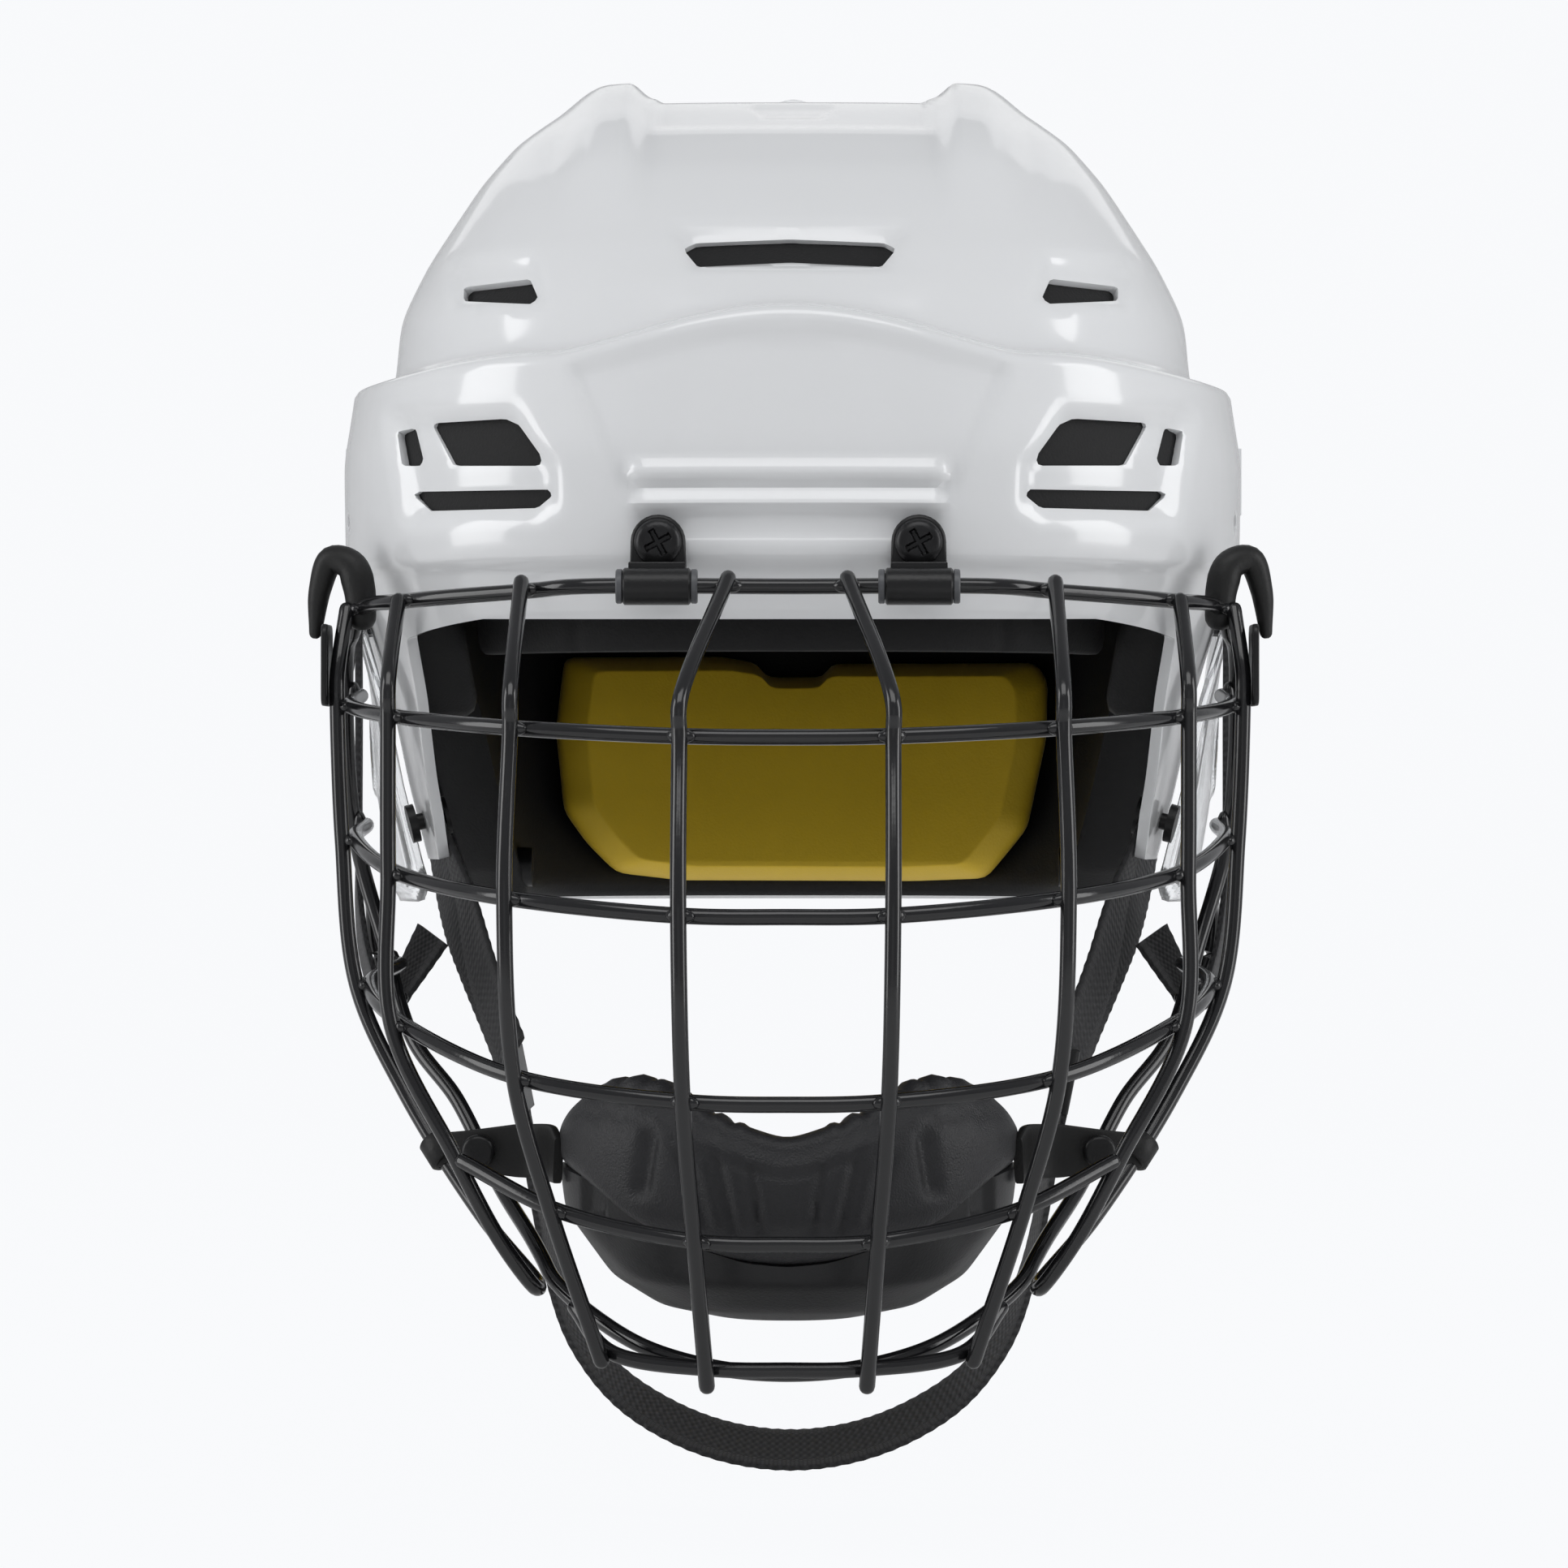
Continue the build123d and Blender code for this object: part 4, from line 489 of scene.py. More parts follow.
def pierced(points, distance_of):
    """A grid cut where distance_of is less than 0: points near the line slide onto it along the slope of the
    distance, whole cells past it go, and cells that it crosses keep the triangles on the near side."""
    shape = points.shape[:2]
    place = np.stack(np.meshgrid(*(np.arange(n, dtype=float) for n in shape), indexing="ij"))
    distance = distance_of(points)
    slope = np.stack(np.gradient(distance))
    size = (slope ** 2).sum(axis=0) + 1e-9
    near = np.abs(distance) / np.sqrt(size) < NEAR_LINE
    free = near & np.stack([(at > 0) & (at < n - 1) for at, n in zip(place, shape)])
    place = place + np.where(free, -distance * slope / size, 0)
    moved = points.copy()
    moved[near] = sample(points, *place)[near]
    for _ in range(2):
        left = distance_of(moved)
        place = np.where(free, place - np.clip(left * slope / size, -0.3, 0.3), place)
        moved[near] = sample(points, *place)[near]
    index = np.arange(distance.size).reshape(shape)
    corners = np.stack([index[:-1, :-1], index[:-1, 1:], index[1:, 1:], index[1:, :-1]])
    values = np.where(near, 0.0, distance).ravel()[corners]
    shown = values.max(axis=0) > 0
    whole = shown & (values.min(axis=0) >= 0)
    faces = corners[:, whole].T.tolist()
    crossed = shown & ~whole
    first = crossed & (np.abs(values[0]) + np.abs(values[2]) <= np.abs(values[1]) + np.abs(values[3]))
    for mask, trios in ((first, ([0, 1, 2], [0, 2, 3])), (crossed & ~first, ([0, 1, 3], [1, 2, 3]))):
        for trio in trios:
            keep = mask & (values[trio].min(axis=0) >= 0) & (values[trio].max(axis=0) > 0)
            faces += corners[trio][:, keep].T.tolist()
    used = np.zeros(distance.size, bool)
    used[[k for face in faces for k in face]] = True
    renumber = np.cumsum(used) - 1
    return moved.reshape(-1, 3)[used], [renumber[face].tolist() for face in faces]


def give_wall(obj, thickness, offset=-1):
    """Gives an open sheet its wall: inwards, or to both sides with the offset 0."""
    wall = obj.modifiers.new("wall", "SOLIDIFY")
    wall.thickness, wall.offset = thickness * MM, offset


def shell_piece(name, heading, end, holes, body, stands_for):
    """Shell of one end of the head: its outer face with relief and openings, its wall and rounded edges."""
    rows = profile_rows(CELL)
    straight = STRAIGHT_FRONT if heading < 0 else STRAIGHT_BACK
    count = max(int(abs(heading * straight - end) / CELL), 2)
    sides = np.linspace(end, heading * straight, count, endpoint=False)
    points = lift_ledge(head_grid(rows, plan_turns(CELL, heading), sides, heading))
    fade = np.clip((rows[:, 1] - 1) / 4, 0, 1)[:, None, None]
    points = points + surface_normals(points) * relief(points, rows[:, :1])[..., None] * fade
    obj = mesh_piece(name, *pierced(points, holes), body, shell_white, stands_for, 60, middle=HEAD_MIDDLE)
    give_wall(obj, WALL)
    rounding = obj.modifiers.new("edges", "BEVEL")
    rounding.width, rounding.segments = SHELL_EDGE_ROUND * MM, 2
    rounding.limit_method, rounding.angle_limit = "ANGLE", math.radians(SHELL_EDGE_ANGLE)


# Materials
def group(name, inputs, outputs):
    """A shader node group with named inputs (name, value) and outputs (name, kind)."""
    tree = bpy.data.node_groups.new(name, "ShaderNodeTree")
    for label, value in inputs:
        kind = "NodeSocketColor" if isinstance(value, tuple) else "NodeSocketFloat"
        tree.interface.new_socket(label, in_out="INPUT", socket_type=kind).default_value = value
    for label, kind in outputs:
        tree.interface.new_socket(label, in_out="OUTPUT", socket_type="NodeSocket" + kind)
    return tree, tree.nodes.new("NodeGroupInput"), tree.nodes.new("NodeGroupOutput")


def node(tree, kind, links=(), **values):
    """A node with its settings, and links into its inputs by name or number."""
    made = tree.nodes.new(kind)
    for key, value in values.items():
        if hasattr(made, key):
            setattr(made, key, value)
        else:
            made.inputs[key.replace("_", " ")].default_value = value
    for target, source in links:
        tree.links.new(source, made.inputs[target])
    return made


def maths(tree, operation, first, second):
    """A maths node of two sockets or numbers, by its output."""
    made = node(tree, "ShaderNodeMath", operation=operation)
    for at, value in enumerate((first, second)):
        if isinstance(value, (int, float)):
            made.inputs[at].default_value = value
        else:
            tree.links.new(value, made.inputs[at])
    return made.outputs[0]


def tinted(tree, given, out, share, height, distance):
    """Ends a group: its colour times a share, and its normal from a height."""
    tint = node(tree, "ShaderNodeVectorMath", [(0, given.outputs["Colour"]), ("Scale", share)],
                operation="SCALE")
    bump = node(tree, "ShaderNodeBump", [("Height", height), ("Strength", given.outputs["Height"])],
                Distance=distance)
    tree.links.new(tint.outputs[0], out.inputs["Colour"])
    tree.links.new(bump.outputs[0], out.inputs["Normal"])


def grain_group():
    """Moulded grain: two sizes of noise give a height, a mask for roughness and a slight change of tone."""
    tree, given, out = group(
        "moulded_grain", [("Size", 900.0), ("Height", 0.1), ("Tone", 0.06), ("Colour", (0.5, 0.5, 0.5, 1.0))],
        [("Colour", "Color"), ("Roughness Mask", "Float"), ("Normal", "Vector")])
    place = node(tree, "ShaderNodeTexCoord")
    fine = node(tree, "ShaderNodeTexNoise",
                [("Vector", place.outputs["Object"]), ("Scale", given.outputs["Size"])], Detail=3.0)
    broad = node(tree, "ShaderNodeTexNoise", [("Vector", place.outputs["Object"])], Scale=28.0, Detail=4.0)
    span = maths(tree, "MULTIPLY", maths(tree, "SUBTRACT", broad.outputs[0], 0.5), given.outputs["Tone"])
    tinted(tree, given, out, maths(tree, "ADD", span, 1.0), fine.outputs[0], 0.0004)
    tree.links.new(broad.outputs[0], out.inputs["Roughness Mask"])
    return tree


def weave_group():
    """Woven webbing: ribs across the strap and a fine twill along it, read from its UV in millimetres. Its
    colour holds painted shade and painted highlight: darker in the weave's hollows, lighter on its ribs.
    """
    tree, given, out = group(
        "webbing_weave",
        [("Rib Pitch", 1.6), ("Yarn Pitch", 0.8), ("Height", 0.6), ("Colour", (0.02, 0.02, 0.02, 1.0))],
        [("Colour", "Color"), ("Normal", "Vector")])
    place = node(tree, "ShaderNodeUVMap", uv_map="UVMap")
    split = node(tree, "ShaderNodeSeparateXYZ", [("Vector", place.outputs[0])])
    rib, yarn = (maths(tree, "SINE", maths(tree, "MULTIPLY", maths(tree, "DIVIDE", split.outputs[way],
                                                                   given.outputs[pitch]), 2 * math.pi), 0)
                 for way, pitch in (("Y", "Rib Pitch"), ("X", "Yarn Pitch")))
    total = maths(tree, "ADD", maths(tree, "MULTIPLY", rib, yarn), rib)
    height = node(tree, "ShaderNodeMapRange", [("Value", total)], From_Min=-2.0, From_Max=2.0)
    # painted shade and painted highlight: the colour is scaled from 0.55 in the weave's hollows to 1.5 on its
    # ribs
    light = node(tree, "ShaderNodeMapRange", [("Value", height.outputs[0])], To_Min=0.55, To_Max=1.5)
    tinted(tree, given, out, light.outputs[0], height.outputs[0], 0.0005)
    return tree


GRAIN, WEAVE = grain_group(), weave_group()


def surfaced(name, look, inputs, shader):
    """A material: colour and normal from a group, the other values on the shader's own sockets."""
    made = bpy.data.materials.new(name)
    made.use_nodes = True
    tree = made.node_tree
    surface = tree.nodes["Principled BSDF"]
    source = node(tree, "ShaderNodeGroup", node_tree=look)
    for key, value in inputs.items():
        source.inputs[key].default_value = value
    tree.links.new(source.outputs["Colour"], surface.inputs["Base Color"])
    tree.links.new(source.outputs["Normal"], surface.inputs["Normal"])
    for key, value in shader.items():
        surface.inputs[key.replace("_", " ")].default_value = value
    return made, tree, surface, source


def material(name, colour, roughness, size, height, tone, spread=0.1, **shader):
    """A moulded finish: the grain's size, height and change of tone, and a roughness spread by its mask."""
    made, tree, surface, grain = surfaced(
        name, GRAIN, {"Size": size, "Height": height, "Tone": tone, "Colour": (*colour, 1)}, shader)
    rough = node(tree, "ShaderNodeMapRange", [("Value", grain.outputs["Roughness Mask"])],
                 To_Min=max(roughness - spread / 2, 0.02), To_Max=roughness + spread / 2)
    tree.links.new(rough.outputs[0], surface.inputs["Roughness"])
    return made


shell_white = material("gloss white shell", (0.80, 0.81, 0.82), 0.16, 260, 0.03, 0.02, 0.06, Coat_Weight=0.5,
                       Coat_Roughness=0.06)
wire_black = material("gloss black dipped wire", (0.008, 0.008, 0.009), 0.16, 420, 0.10, 0.3, 0.08,
                      Coat_Weight=0.35, Coat_Roughness=0.08, Specular_IOR_Level=0.4)
foam_black = material("black foam", (0.011, 0.011, 0.0115), 0.66, 1500, 0.35, 0.35, Specular_IOR_Level=0.3)
foam_yellow = material("yellow foam", (0.80, 0.54, 0.022), 0.55, 1500, 0.25, 0.10, Sheen_Weight=0.1)
plastic_black = material("satin black plastic", (0.008, 0.008, 0.0085), 0.34, 1200, 0.16, 0.25,
                         Specular_IOR_Level=0.35)
cup_black = material("matt black cup", (0.008, 0.008, 0.009), 0.38, 1500, 0.22, 0.25, Specular_IOR_Level=0.35)
cup_skin = material("charcoal padded skin", (0.010, 0.010, 0.012), 0.40, 2200, 0.55, 0.40,
                    Specular_IOR_Level=0.45, Sheen_Weight=0.05)
bush_grey = material("grey bush plastic", (0.085, 0.088, 0.095), 0.42, 1200, 0.12, 0.1)
screw_black = material("black oxide screw", (0.02, 0.02, 0.021), 0.30, 1500, 0.12, 0.2, Metallic=0.6)
steel_plain = material("plated steel", (0.55, 0.55, 0.56), 0.28, 900, 0.1, 0.1, Metallic=1.0)
rubber_black = material("soft black rubber", (0.009, 0.009, 0.009), 0.48, 1400, 0.2, 0.2,
                        Specular_IOR_Level=0.35)
web_black = surfaced(
    "black webbing", WEAVE, {"Rib Pitch": 1.9, "Yarn Pitch": 0.9, "Colour": (0.015, 0.015, 0.0165, 1)},
    {"Roughness": 0.62, "Sheen_Weight": 0.08, "Sheen_Roughness": 0.4})[0]
clear = material("clear guard sheet", (0.97, 0.98, 0.99), 0.06, 300, 0.02, 0.01, 0.04, Transmission_Weight=0.92,
                 IOR=1.46)

# Shells
CELL = 1.65
shell_piece("front_shell_skin", -1, SPLIT, holes_front, "helmet", "front_shell")
shell_piece("rear_shell_skin", 1, SPLIT + SLIDE_GAP, holes_rear, "rear", "rear_shell")


def liner_piece(name, heading, end, rim_line, body, stands_for, collar=None):
    """Foam liner: a closed section, out at the shell and in at the head, carried round one end and rounded
    at its rim. Ahead of the place collar it lies deeper, under the shell's tongue."""
    rows = profile_rows(FOAM_STEP)
    turns = plan_turns(2.6, heading)
    straight = STRAIGHT_FRONT if heading < 0 else STRAIGHT_BACK
    sides = np.linspace(end, heading * straight, 20, endpoint=False)

    def skin_at(depth):
        return lift_ledge(head_grid(rows, turns, sides, heading, depth))
    lean = WALL + FOAM_GAP
    depths = {"face": lean, "round": lean + 1.9, "under": LINER_DEPTH - 3.5, "lip": LINER_DEPTH - 1.2,
              "head": LINER_DEPTH}
    skins = {key: skin_at(depth) for key, depth in depths.items()}
    if collar is not None:
        deep = skins["face"][..., 1:2] < collar
        for key in ("face", "round"):
            skins[key] = np.where(deep, skin_at(depths[key] + WALL + FOAM_GAP), skins[key])
    base = skins["face"]
    above_rim = base[..., 2] - np.interp(base[..., 1], *np.array(rim_line, float).T)
    col = np.arange(base.shape[1], dtype=float)[None]
    level = np.arange(len(rows), dtype=float)
    start = np.array([np.interp(0, above, level) for above in above_rim.T])
    share = np.linspace(0, 1, 70) ** 1.1
    inner_rows = start[None] + 1.6 + share[:, None] * (len(rows) - 1.0 - 1.6 - start[None])
    spots = np.broadcast_to(col, inner_rows.shape)
    rim = [sample(skins[key], (start + lift)[None], col)
           for key, lift in (("face", 0.9), ("round", 0.0), ("under", 0.0), ("lip", 0.6))]
    points = np.concatenate(rim + [sample(skins["head"], inner_rows, spots),
                                   sample(skins["face"], inner_rows, spots)[::-1]])
    rows_all, cols_all = points.shape[:2]
    first = [r * cols_all for r in range(rows_all)]
    faces = quads(rows_all, cols_all, True, False) + [first[::-1], [k + cols_all - 1 for k in first]]
    liner = mesh_piece(name, points.reshape(-1, 3), faces, body, foam_black, stands_for, sharp=60)


FRONT_LINER_RIM = [(-170, 42), (-112, 44), (-82, 42), (-68, 16), (-36, 16), (-22, 45), (20, 45)]
REAR_LINER_RIM = [(-9, 45.5), (26.5, 45.5), (28.5, 16.0), (40, -21.0), (52, -29.0), (170, -29.0)]
LINER_DEPTH = WALL * 2 + FOAM
liner_piece("front_liner_foam", -1, -5.6, FRONT_LINER_RIM, "helmet", "front_liner")
liner_piece("rear_liner_foam", 1, -5.0, REAR_LINER_RIM, "rear", "rear_liner", collar=26.5)


def tongue_grid(first, last, low):
    """The rear shell's tongue under the front shell: an arch over the head with its ends at the height low.

    It lies under the front shell from first and is taken up into the rear shell's wall near last.
    """
    rows = profile_rows(FOAM_STEP)
    rows = rows[rows[:, 0] >= low]
    places = np.array([first, first + 0.8, *np.linspace(first + 3, SPLIT + 0.4, 8), SPLIT + 2.0, last])
    depth = np.where(places > SPLIT + 1, WALL * 0.6, WALL + FOAM_GAP)

    def face_at(lift):
        rings = [lift_ledge(head_grid(rows, np.array([]), [place], 1, deep + lift))
                 for place, deep in zip(places, depth)]
        return np.stack([np.concatenate([ring[:, 0], ring[::-1, 1][1:]]) for ring in rings], axis=1)
    return np.concatenate([face_at(0.0), face_at(WALL)[:, ::-1]], axis=1)


tongue = tongue_grid(-5.0, 25.8, 46.0)
joined("rear_shell_tongue", [(tongue, CAPPED)], "rear", shell_white, "rear_shell")


def rounded_section(width, thickness, power=5, sides=36):
    """Superellipse section: width across, thickness square to it."""
    return np.stack(oval_turn(np.linspace(0, 2 * math.pi, sides, endpoint=False), power),
                    axis=-1) * (width / 2, thickness / 2)


def pad_ends(place, first, last, reach=6):
    """Share of a pad's thickness, which falls to nothing at both ends."""
    return np.clip(np.minimum(place - first, last - place) / reach, 0.05, 1) ** 0.5


def foam_strip(path, width, thickness, ends, channels):
    """Strip of foam along a path, narrower at its ends and drawn in at its channels."""
    swell = np.stack([0.4 + 0.6 * ends, ends * channels], axis=-1)
    section = rounded_section(width, thickness)[None] * swell[:, None]
    return carry(path, (0, 0, 1), section)


# Brow pad, round the brow on a superellipse arc
BROW_HALF, BROW_REACH = 78.0, 111.5
degrees = np.linspace(24, 156, 150)
low, high = box_mm("brow_pad")
across, ahead = oval_turn(np.radians(degrees))
path = np.stack([BROW_HALF * across, -(STRAIGHT_FRONT + (BROW_REACH - STRAIGHT_FRONT) * ahead),
                 np.full(len(degrees), (low[2] + high[2]) / 2)], axis=-1)
channels = 1 - sum(0.25 * np.exp(-((degrees - at) / 1.3) ** 2) for at in (58, 90, 122))
strip = foam_strip(path, 25.0, 7.4, pad_ends(degrees, 23, 157), channels)
joined("brow_pad_foam", [(strip, CAPPED)], "helmet", foam_black, "brow_pad")

# Temple pads
low, high = box_mm("temple_pads")
along = np.linspace(-63.5, -11.5, 44)
bend = high[0] - 4.6 - 5.5 * np.clip((-along - 15) / 49, 0, 1) ** 2.6
path = np.stack([bend, along, np.full(along.shape, (low[2] + high[2]) / 2)], axis=1)
strip = foam_strip(path, 33.0, 8.2, pad_ends(along, -64, -11), 1 - 0.3 * np.exp(-((along + 37) / 1.5) ** 2))
joined("temple_pad_foam", both_sides(strip, CAPPED), "helmet", foam_black, "temple_pads")


def cushion(outline, face_of, thickness, bevel_share, rings=26, sides=180):
    """Moulded pad: an outline filled by rings round its middle. Its height over face_of is even across the top
    and falls along a rounded bevel to its edge."""
    closed = np.array(outline + outline[:1], float)
    run = run_along(closed)
    rim = blurred(columns_at(np.linspace(0, run[-1], sides, endpoint=False), run, closed), 4, 1.2, mode="wrap")
    centre = (rim.max(axis=0) + rim.min(axis=0)) / 2
    share = np.concatenate([np.linspace(0.0, 0.78, rings // 2), np.linspace(0.80, 1.0, rings)])
    flat = centre + share[:, None, None] * (rim - centre)[None]
    edge = np.clip((1 - share) / bevel_share, 0, 1)
    height = thickness * (0.12 + 0.88 * edge ** 0.55) + 0.6 * (1 - share ** 2)
    top = face_of(flat[..., 0], flat[..., 1], height[:, None] * np.ones(flat.shape[:2]))
    under = face_of(flat[::-1, :, 0], flat[::-1, :, 1], np.zeros(flat.shape[:2]))
    return np.concatenate([top, under])


def back_face(x, z, height):
    """Place in front of the rear liner's inner face, height ahead of it."""
    level = np.interp(z, [-60, -20, 0, 20, 40, 60], [0.78, 0.80, 0.845, 0.885, 0.93, 0.945])
    reach = level * BACK - WALL * 2 - FOAM - 0.9
    half = np.interp(z, [-60, -20, 0, 20, 40], [0.78, 0.81, 0.857, 0.895, 0.95]) * WIDTH - WALL * 2 - FOAM
    aside = np.clip(np.abs(x) / half, 0, 0.999)
    y = STRAIGHT_BACK + (reach - STRAIGHT_BACK) * (1 - aside ** POWER) ** (1 / POWER)
    return np.stack([x, y - height, z], axis=-1)


REAR_PAD = [(62.0, 31.5), (8.8, 31.6), (7.0, 28.0), (-8.4, 28.0), (-10.6, 31.8), (-20, 33.4), (-60.5, 33.0),
            (-62.3, 14.0), (-60.0, -7.0), (-54.0, -15.5), (-46.5, -23.0), (-30, -25.0), (30, -25.2),
            (49.0, -24.4), (59.5, -11.5), (64.6, 12.0), (65.0, 27.0)]
pad = cushion(REAR_PAD, back_face, 13.0, 0.13)
joined("rear_pad_foam", [(pad, OPEN)], "rear", foam_yellow, "rear_pad")

# Crown pads
low, high = box_mm("crown_pads")
front, back = low[1], high[1]
inner, outer = 7.6, 37.3
OVAL = [(inner, front + 12), (14, front + 1), (31, front + 1), (outer, front + 12), (outer, back - 6),
        (31, back), (14, back), (inner, back - 6)]


def crown_face(x, y, height):
    """Place under the crown's foam, height below it."""
    fall = np.interp(-y, [0, 40], [0, 13]) + (x / 90) ** 2 * 4
    return np.stack([x, y, high[2] - 1.0 - fall - height], axis=-1)


pad = cushion(OVAL, crown_face, 5.0, 0.25, sides=90, rings=16)
joined("crown_pad_foam", both_sides(pad, OPEN), "helmet", foam_yellow, "crown_pads")

# Cage
HALF, REACH, DROP = 106.0, 198.0, 130.0
WIRE = 3.6
HINGE_Y, HINGE_Z = -150.0, 44.4
CLIP_X = 29.5


def cage_places(shares, sizes=(HALF, REACH, DROP)):
    """Places from shares of a half width, a reach to the front and a height, by default those of the cage."""
    return np.array([(x * sizes[0], -y * sizes[1], z * sizes[2]) for x, y, z in shares])


def across_whole(points):
    """A half route and its mirror."""
    left = flipped(points[::-1])
    return np.concatenate([left[:-1] if points[0][0] == 0 else left, points])


ROWS = {
    "eye": [(0.000, 0.934, 0.079), (0.215, 0.926, 0.081), (0.561, 0.868, 0.095), (0.826, 0.717, 0.116),
            (0.960, 0.510, 0.139), (0.958, 0.366, 0.160)],
    "nose": [(0.000, 1.000, -0.223), (0.213, 0.993, -0.221), (0.566, 0.922, -0.195), (0.822, 0.738, -0.157),
             (0.948, 0.515, -0.100), (0.952, 0.315, -0.075)],
    "mouth": [(0.000, 0.990, -0.538), (0.204, 0.984, -0.534), (0.547, 0.912, -0.500), (0.814, 0.745, -0.418),
              (0.915, 0.530, -0.356), (0.871, 0.359, -0.327)],
    "chin": [(0.000, 0.950, -0.777), (0.181, 0.944, -0.773), (0.478, 0.872, -0.727), (0.687, 0.790, -0.650)],
    "foot": [(0.000, 0.862, -1.000), (0.159, 0.857, -0.998), (0.375, 0.806, -0.975), (0.451, 0.757, -0.905)],
}
TOP_BAR = np.concatenate([[(47.0, HINGE_Y, HINGE_Z)], cage_places([
    (0.550, 0.718, 0.336), (0.820, 0.611, 0.323), (0.946, 0.475, 0.312)])])
RIM = cage_places([(0.987, 0.385, 0.235), (0.980, 0.308, -0.082), (0.914, 0.328, -0.280),
                   (0.838, 0.404, -0.460), (0.734, 0.460, -0.566), (0.634, 0.530, -0.713),
                   (0.555, 0.616, -0.800)])
LOWER = cage_places([(0.500, 0.680, -0.868), (0.410, 0.730, -0.925), (0.284, 0.790, -0.975),
                     (0.100, 0.828, -1.006)])
BEND = cage_places([(0.705, 0.783, -0.640), (0.610, 0.780, -0.785), (0.540, 0.752, -0.868)])
REAR_BEND = cage_places([(0.835, 0.573, -0.545), (0.655, 0.655, -0.760), (0.535, 0.712, -0.868)])
rows = {name: cage_places(shares) for name, shares in ROWS.items()}
CROSSED = ("eye", "nose", "mouth", "chin")
GAP = WIRE - 0.35


def outward(points, index):
    """Crossing of an upright on the outer face of a row."""
    before, after = points[max(index - 1, 0)], points[min(index + 1, len(points) - 1)]
    run = unit((after - before)[:2])
    x, y, z = points[index]
    return np.array([x + GAP * run[1], y - GAP * run[0], z])


def kinked(index, names):
    """An upright's places: outside the top bar, over its kink and on its rows."""
    top = outward(TOP_BAR, index - 1) if index > 1 else np.array([13.4, HINGE_Y - GAP, HINGE_Z])
    places = [outward(rows[name], index) for name in names]
    return [top + (0, 0, (WIRE / 2) * (index < 3)), places[0] + (0, 0, 7.0)] + places


top_joint = (TOP_BAR[-1] + RIM[0]) / 2
low_joint = (RIM[-1] + LOWER[0]) / 2
beads = []


def bead(place, axis, length=3.4, radius=1.7):
    """Weld: a small drop of metal along the wire that it joins."""
    turn = np.linspace(-math.pi / 2, math.pi / 2, 7)
    bead_line = np.stack([length * np.sin(turn), np.maximum(radius * np.cos(turn), 0.01)], 1)
    beads.append(lathe(place, axis, bead_line, 10))


def cage_wire(name, stands_for, grid):
    """One wire of the cage."""
    joined(name, [(grid, CAPPED)], "cage", wire_black, stands_for, 60)


def whole_wire(places, round_ends=True):
    """A wire across the face, from its right half."""
    return tube(curve_through(across_whole(places)), WIRE / 2, (0, 0, 1), round_ends=round_ends)


cage_wire("cage_top_wire", "cage_top_bar",
          whole_wire(np.concatenate([[(0, HINGE_Y, HINGE_Z)], TOP_BAR, [top_joint]]), False))
cage_wire("cage_lower_wire", "cage_lower_bar", whole_wire(np.concatenate([[low_joint], LOWER])[::-1], False))
for name, places in rows.items():
    cage_wire(f"cage_{name}_wire", f"cage_row_{name}", whole_wire(places))
inner = kinked(1, CROSSED) + [outward(rows["foot"], 1) - (0, 0, WIRE)]
outer = kinked(2, CROSSED) + [outward(rows["foot"], 2) - (0, 0, WIRE / 2)]
hairpin = kinked(3, CROSSED[:3]) + list(BEND) + (kinked(4, CROSSED[:3]) + list(REAR_BEND))[::-1]
rim_path = np.concatenate([[top_joint], RIM, [low_joint]])
loop = cage_places([(0.934, 0.308, -0.223), (0.958, 0.182, -0.231), (0.952, 0.169, -0.308),
                    (0.915, 0.182, -0.381), (0.905, 0.313, -0.385), (0.867, 0.362, -0.389)])
UPWARDS, ACROSS = (0.3, 0, 1), (1, 0, 0)
for name, places, radius, way, ends in (
    ("inner_upright", inner, WIRE / 2, ACROSS, True), ("outer_upright", outer, WIRE / 2, ACROSS, True),
    ("hairpin", hairpin, WIRE / 2, ACROSS, True), ("rim_wire", rim_path, WIRE / 2, ACROSS, False),
    ("strap_loop", loop, 1.5, UPWARDS, True),
):
    grid = tube(curve_through(places), radius, way, round_ends=ends)
    cage_wire(f"cage_{name}_right_wire", f"cage_{name}_right", grid)
    cage_wire(f"cage_{name}_left_wire", f"cage_{name}_left", flipped(grid))
for index in (1, 2, 3, 4):
    for name in CROSSED[:4 if index < 3 else 3]:
        row = rows[name]
        bead((outward(row, index) + row[index]) / 2, row[min(index + 1, len(row) - 1)] - row[index - 1])
for name in CROSSED[:3]:
    bead(rows[name][-1] + (1.6, 0, 0), (0, 0, 1))
bead(np.array([13.4, HINGE_Y - GAP / 2, HINGE_Z]), (1, 0, 0))
for index in (1, 2, 3):
    bead((outward(TOP_BAR, index) + TOP_BAR[index]) / 2, TOP_BAR[min(index + 1, 3)] - TOP_BAR[index - 1])
joined("cage_welds", [part for grid in beads for part in both_sides(grid, OPEN)], "cage", wire_black, sharp=60)

# Tags and hooks at the upper corners of the cage
low, high = box_mm("cage_tags")
TAG_WALL = 1.5


def rounded_rectangle(width, height, corner, steps=5):
    """Outline of a rectangle with round corners, centred."""
    out = []
    for k, (sx, sy) in enumerate(((1, 1), (-1, 1), (-1, -1), (1, -1))):
        for a in np.linspace(0, math.pi / 2, steps):
            turn = a + k * math.pi / 2
            out.append((sx * (width / 2 - corner) + corner * math.cos(turn),
                        sy * (height / 2 - corner) + corner * math.sin(turn)))
    return np.array(out)


